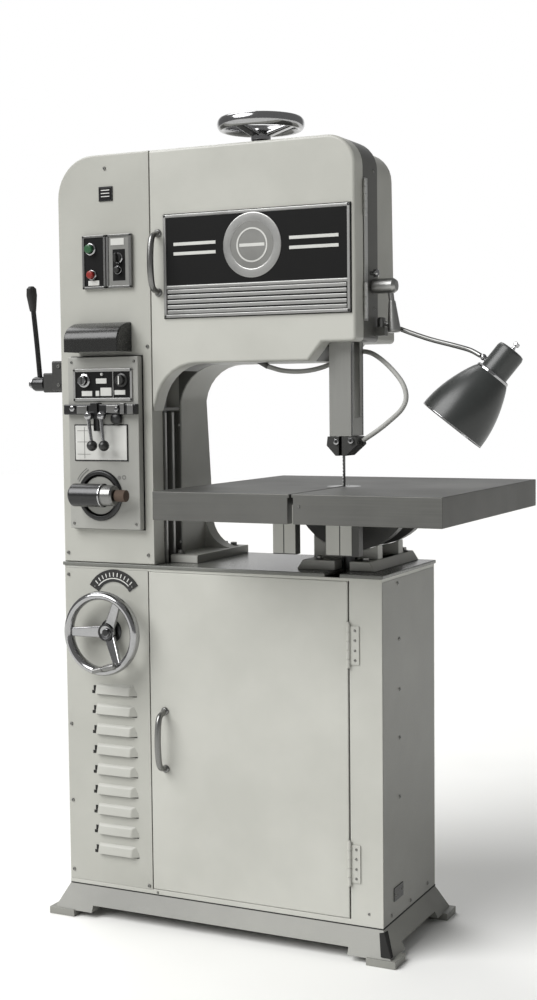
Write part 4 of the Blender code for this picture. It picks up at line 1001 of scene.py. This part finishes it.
tension_wheel = handwheel(wheel_rim, at(401, 94, 1556), up, 10, 19, 20)
thread = rod(7.8, 0, 185)
take_in(tension_wheel, turned(thread, at(401, 94, 1345), up, 0.8, 28))
show("tension_wheel", tension_wheel, chrome, "tension_handwheel_body", ["tension_handwheel"])
bush = [(9.8, 0), (26, 0), (26, 3), (17, 4), (17, 9), (9.8, 9)]
show("tension_bush", turned(bush, at(401, 94, 1510), up, 0.7, 40), dark_steel, "frame")

# --- Table, insert and trunnion ---------------------------------------------------------------
# A ribbed iron casting, its top ground in long passes and its sides milled. It tilts on two round
# segments in saddles that are bolted to rails on the lid; a steel disc fills the hole at the blade.


def ground_iron(name, low, high, rough, stretch):
    """Ground cast iron: close parallel grinding lines, darker oily patches, low shine."""
    made, tree, shader, place = new_finish(name)
    shader.inputs["Metallic"].default_value = 0.75
    drawn = add(tree, "ShaderNodeMapping", {"Vector": place, "Scale": stretch}).outputs["Vector"]
    lines = add(tree, "ShaderNodeTexNoise", {"Vector": drawn, "Scale": 420.0, "Detail": 3.0}).outputs["Fac"]
    oil = add(tree, "ShaderNodeTexNoise", {"Vector": place, "Scale": 6.0, "Detail": 6.0}).outputs["Fac"]
    base = tinted(tree, oil, low, high, (0.3, 0.7))
    shade = add(
        tree, "ShaderNodeMix", {0: lines, 6: base, 7: paint_chip(high)}, data_type="RGBA", blend_type="MIX"
    )
    tree.links.new(shade.outputs[2], shader.inputs["Base Color"])
    sheen = add(tree, "ShaderNodeMapRange", {"Value": oil, "To Min": rough + 0.08, "To Max": rough - 0.06})
    tree.links.new(sheen.outputs["Result"], shader.inputs["Roughness"])
    bump = add(tree, "ShaderNodeBump", {"Height": lines, "Distance": 0.02 * mm, "Strength": 0.5})
    tree.links.new(bump.outputs["Normal"], shader.inputs["Normal"])
    return made


table_iron = ground_iron("ground_table_iron", "4f4f4d", "686865", 0.5, (0.02, 1, 1))
insert_steel = ground_iron("ground_insert_steel", "7f7f7c", "919190", 0.32, (1, 0.05, 1))
show("table_casting", rounded_copy("table", 1.3, 2), table_iron, "table_body", ["table"])
show("insert_disc", rounded_copy("table_insert", 0.5, 2), insert_steel, "table_body", ["table_insert"])
screws("insert_screw", [at(583.45, 79, 872)], up, 2.0, "table_body")
screws("table_front_screw", [at(600, -181, 851)], front, 2.6, "table_body")
trunnion_enamel = enamel("trunnion_enamel", "3e3e3c", "484846", 0.42, 3.0, 0.3)
show("trunnion_casting", rounded_copy("trunnion", 1.6, 2), trunnion_enamel, "table_body", ["trunnion"])
# Thin slabs of a paler enamel on the rib fronts: painted light on the faces that the light falls on.
ribs = slabs([
    (at(464, -0.9, 749), at(484.5, 0, 846)), (at(486.5, -0.9, 749), at(509, 0, 846)),
    (at(571, -0.9, 749), at(597.5, 0, 846)), (at(599.5, -0.9, 749), at(622, 0, 846)),
], 0.4)
show("trunnion_rib_painted_light", ribs, pale_enamel_and_painted_light, "table_body")
show("left_cradle_casting", rounded_copy("cradle_left", 1.5, 2), pale_enamel_and_painted_light, "frame", ["cradle_left"])
show("right_cradle_casting", rounded_copy("cradle_right", 1.5, 2), pale_enamel_and_painted_light, "frame", ["cradle_right"])
bolts("cradle_bolts", ((530, 62), (624, 62), (530, 260), (624, 260)), 733, 8, 6, 7)

# --- Guide post -------------------------------------------------------------------------------
# A ground steel channel slides up and down in the head and carries the blackened guide block,
# which two socket screws hold. A lever with a tapered grip clamps it through the head's side.

post_steel = ground_iron("ground_post_steel", "8d8d8a", "9f9f9b", 0.34, (1, 1, 0.03))
show("post_channel", rounded_copy("guide_post", 0.9, 2), post_steel, "post_body", ["guide_post"])
post_edge = slabs([(at(606, 41.5, 966), at(606.7, 45, 1136)), (at(606, 94, 966), at(606.7, 97.5, 1136))], 0.2)
show("post_edge_wear", post_edge, chrome, "post_body")
show("guide_block_casting", rounded_copy("guide_block", 1.0, 2), bracket_enamel, "post_body", ["guide_block"])


def socket_screw(place, out, radius):
    """A cap screw, and a flat black disc on its end: painted shade for the mouth of its hexagon socket."""
    cap = turned(rod(radius, 0, radius * 0.9), place, out, 0.5, 24)
    key = turned(rod(radius * 0.5, 0, 0.3), place + out * radius * 0.9 * mm, out, 0, 6)
    return cap, key


caps, socket_shade_discs = bmesh.new(), bmesh.new()
for x, z in ((577, 955), (606, 957)):
    cap, key = socket_screw(at(x, 40, z), front, 5.5)
    take_in(caps, cap)
    take_in(socket_shade_discs, key)
show("guide_block_screws", caps, chrome, "post_body")
show("guide_block_socket_painted_shade", socket_shade_discs, black_enamel, "post_body")
clamp = turned(rod(6, 0, 33), at(606.4, 80, 1240), side, 0.6, 28)
hub_line = [(0, 0), (13.6, 0), (14, 2), (14, 40), (10, 46), (0, 46)]
take_in(clamp, turned(hub_line, at(635, 80, 1240), side, 0.8, 44))
take_in(clamp, sweep([at(668, 80, 1238), at(670, 80, 1222), at(672, 80, 1205)], 5.2, 20))
show("clamp_hub", clamp, aluminium, "clamp_lever_body", ["clamp_lever"])
grip_line = [
    at(671.4, 80, 1214), at(671.6, 80, 1211), at(675.4, 80, 1162), at(676, 80, 1156),
    at(676.1, 80, 1154.5),
]
show("clamp_grip", sweep(grip_line, [4, 6.5, 12, 11.5, 9], 32), aluminium, "clamp_lever_body")

# --- Blade, wheels and drive ------------------------------------------------------------------
# An endless toothed band runs over two cast wheels with rubber tyres. The lower wheel's shaft
# turns in a pedestal and is driven by a belt from the motor on the cabinet's floor.


def band():
    """The blade: two half turns and two straight runs, with a tooth on every second step."""
    radius, pitch = 190.45, 3.2
    middle, upper_axle, lower_axle = 393, 1307, 500
    run = upper_axle - lower_axle
    places = []
    arc_steps = round(math.pi * radius / pitch / 2) * 2
    run_steps = round(run / pitch / 2) * 2
    for n in range(arc_steps):
        a = math.pi * n / arc_steps
        cos, sin = math.cos(a), math.sin(a)
        places.append((middle + radius * cos, upper_axle + radius * sin, cos, sin))
    for n in range(run_steps):
        places.append((middle - radius, upper_axle - run * n / run_steps, -1, 0))
    for n in range(arc_steps):
        a = math.pi + math.pi * n / arc_steps
        cos, sin = math.cos(a), math.sin(a)
        places.append((middle + radius * cos, lower_axle + radius * sin, cos, sin))
    for n in range(run_steps):
        places.append((middle + radius, lower_axle + run * n / run_steps, 1, 0))
    work = bmesh.new()
    rings = []
    for n, (x, z, cos, sin) in enumerate(places):
        tip = 51.2 if n % 2 else 53.2
        section = ((-1, tip), (1, tip), (1, 63), (-1, 63))
        rings.append([work.verts.new(at(x + s * 0.42 * cos, y, z + s * 0.42 * sin)) for s, y in section])
    for a, b in zip(rings, rings[1:] + rings[:1]):
        for k in range(4):
            work.faces.new((a[k], a[(k + 1) % 4], b[(k + 1) % 4], b[k]))
    bmesh.ops.recalc_face_normals(work, faces=work.faces)
    return work


blade_steel = bright_metal("tempered_blade_steel", "5c5c5c", "6c6c6b", 0.3, 0.8, (1, 1, 0.1))
tyre_rubber = moulded("black_tyre_rubber", "1f1f1f", "2a2a29", 0.7)
motor_enamel = enamel("motor_enamel", "5a5e5e", "666a69", 0.4, 2.5, 0.2)
show("band_blade", band(), blade_steel, "frame", ["blade"], 20)
for piece, node, body, width, look in (
    ("upper_wheel_casting", "upper_wheel", "upper_wheel_body", 0.8, frame_enamel),
    ("lower_wheel_casting", "lower_wheel", "lower_wheel_body", 0.8, frame_enamel),
    ("upper_tyre_rubber", "upper_tyre", "upper_wheel_body", 0.5, tyre_rubber),
    ("lower_tyre_rubber", "lower_tyre", "lower_wheel_body", 0.5, tyre_rubber),
    ("tension_block_casting", "tension_slide", "tension_block", 1.0, frame_enamel),
    ("pedestal_casting", "bearing_pedestal", "frame", 1.5, frame_enamel),
    ("motor_casing", "drive_motor", "frame", 1.5, motor_enamel),
    ("motor_pulley_disc", "motor_pulley", "motor_pulley_body", 0.6, dark_steel),
    ("belt_loop", "drive_belt", "frame", 0.6, tyre_rubber),
    ("lower_guide_fork", "lower_guide", "frame", 0.8, dark_steel),
):
    show(piece, rounded_copy(node, width), look, body, [node])

# --- Work lamp --------------------------------------------------------------------------------
# A plated tube arm swivels in a lug on the head. It holds a spun steel shade, dark outside and
# white inside, with an opal bulb in a deep socket and a key switch in the socket's end.

mouth = at(792, 62.4, 984.4)
beam = Vector((0.583, 0.2325, 0.7785)).normalized()
sideways = beam.cross(Vector((0, 1, 0))).normalized()
knuckle = mouth + beam * 131 * mm + sideways * 33.5 * mm
neck = mouth + beam * 115 * mm
lamp_enamel = enamel("dark_lamp_enamel", "2c2e2d", "373938", 0.32, 2.0, 0.05, "5a5a58")
shade_white = enamel("white_reflector_enamel", "d2d2cd", "dcdcd8", 0.3, 2.0, 0.05, "d8d8d4")
opal = moulded("opal_bulb_glass", "deded9", "e8e8e4", 0.15, 4.0, 0.01)

cup = knuckle + Vector((-0.864, 0.276, 0.42)) * 6.6 * mm
arm_route = [
    at(643, 100, 1175), at(671, 100, 1165), at(700, 100, 1154), at(740, 100, 1140.5), at(787, 100, 1128),
    at(815, 100, 1119.5), cup,
]
arm = sweep(curve_through(arm_route, 56), 4.5, 20)
pin = [(0, 0.3), (8, 0.3), (8, 16), (5.5, 18), (0, 18)]
take_in(arm, turned(pin, at(643, 100, 1166), up, 0.8, 28))
show("lamp_arm_tube", arm, jaw_steel, "lamp_arm_body", ["lamp_arm"])

shade_line = [(33 + 32.0 * math.sin(n / 20 * math.pi / 2) ** 0.85, 115 * (1 - n / 20)) for n in range(21)]
outer = [(14.5, 115), *shade_line]
inside = [(r - 0.7, h) for r, h in shade_line[::-1][:-1]]
inside += [(shade_line[0][0] - 0.7, 114.2), (14.5, 114.2)]
shade = turned([*outer, *inside], mouth, beam, 0, 72)
show("shade_outside", shade, lamp_enamel, "lamp_head_body", ["lamp_shade"])
lining = [(r - 0.9, h) for r, h in shade_line[:-1]] + [(63.9, 1.5)]
lining = [(15.5, 113.8), (31.8, 113.8), *lining[1:]]
back = [(r - 0.5, h - 0.3) for r, h in lining[::-1]]
show("shade_lining", turned([*lining, *back], mouth, beam, 0, 72), shade_white, "lamp_head_body")
lip = [(64.3 + 1.4 * math.cos(a), 0.6 + 1.4 * math.sin(a)) for a in (math.tau * n / 12 for n in range(12))]
show("shade_lip", turned(lip, mouth, beam, 0, 72), chrome, "lamp_head_body")
collar = [(27.4, -1.5), (34, -1.5), (34, 2.5), (32, 4.5), (27.4, 4.5)]
show("shade_collar", turned(collar, neck, beam, 0.5, 60), chrome, "lamp_head_body")
socket = [(0, 0.3), (27, 0.3), (27, 50), (25, 55.5), (21, 57), (0, 57)]
holder = turned(socket, neck, beam, 0.6, 60)
take_in(holder, turned(rod(13.8, -18, 2), neck, beam, 0.6, 32))
show("lamp_holder", holder, lamp_enamel, "lamp_head_body", ["lamp_socket"])
joint = bmesh.new()
bmesh.ops.create_uvsphere(joint, u_segments=28, v_segments=18, radius=6.0 * mm)
bmesh.ops.translate(joint, vec=knuckle, verts=joint.verts)
take_in(joint, turned(rod(4.5, 0, 12), knuckle, -sideways, 0.5, 24))
show("lamp_knuckle", joint, chrome, "lamp_head_body")
bulb_line = [
    (0, -24), (9, -22.3), (17, -17), (22, -9.5), (24, 0), (22.4, 8.6), (18.5, 15.5), (14, 21), (13, 29.5),
    (0, 29.5),
]
bulb = turned(bulb_line, neck - beam * 48 * mm, beam, 1.5, 48)
show("opal_bulb", bulb, opal, "lamp_head_body", ["lamp_bulb"])
stem_line = [(0, 0.3), (4.5, 0.3), (4.5, 3), (3, 4), (3, 12), (0, 12)]
stem = turned(stem_line, neck + beam * 57 * mm, beam, 0.3, 24)
wing = beam.cross(Vector((1, 0, 0))).normalized()
middle = neck + beam * 69 * mm
wing_line = [middle + wing * reach * mm for reach in (-7.5, -6, 0, 6, 7.5)]
take_in(stem, sweep(wing_line, [2.5, 4, 3.4, 4, 2.5], 20))
show("lamp_key_switch", stem, chrome, "lamp_key_body", ["lamp_key"])
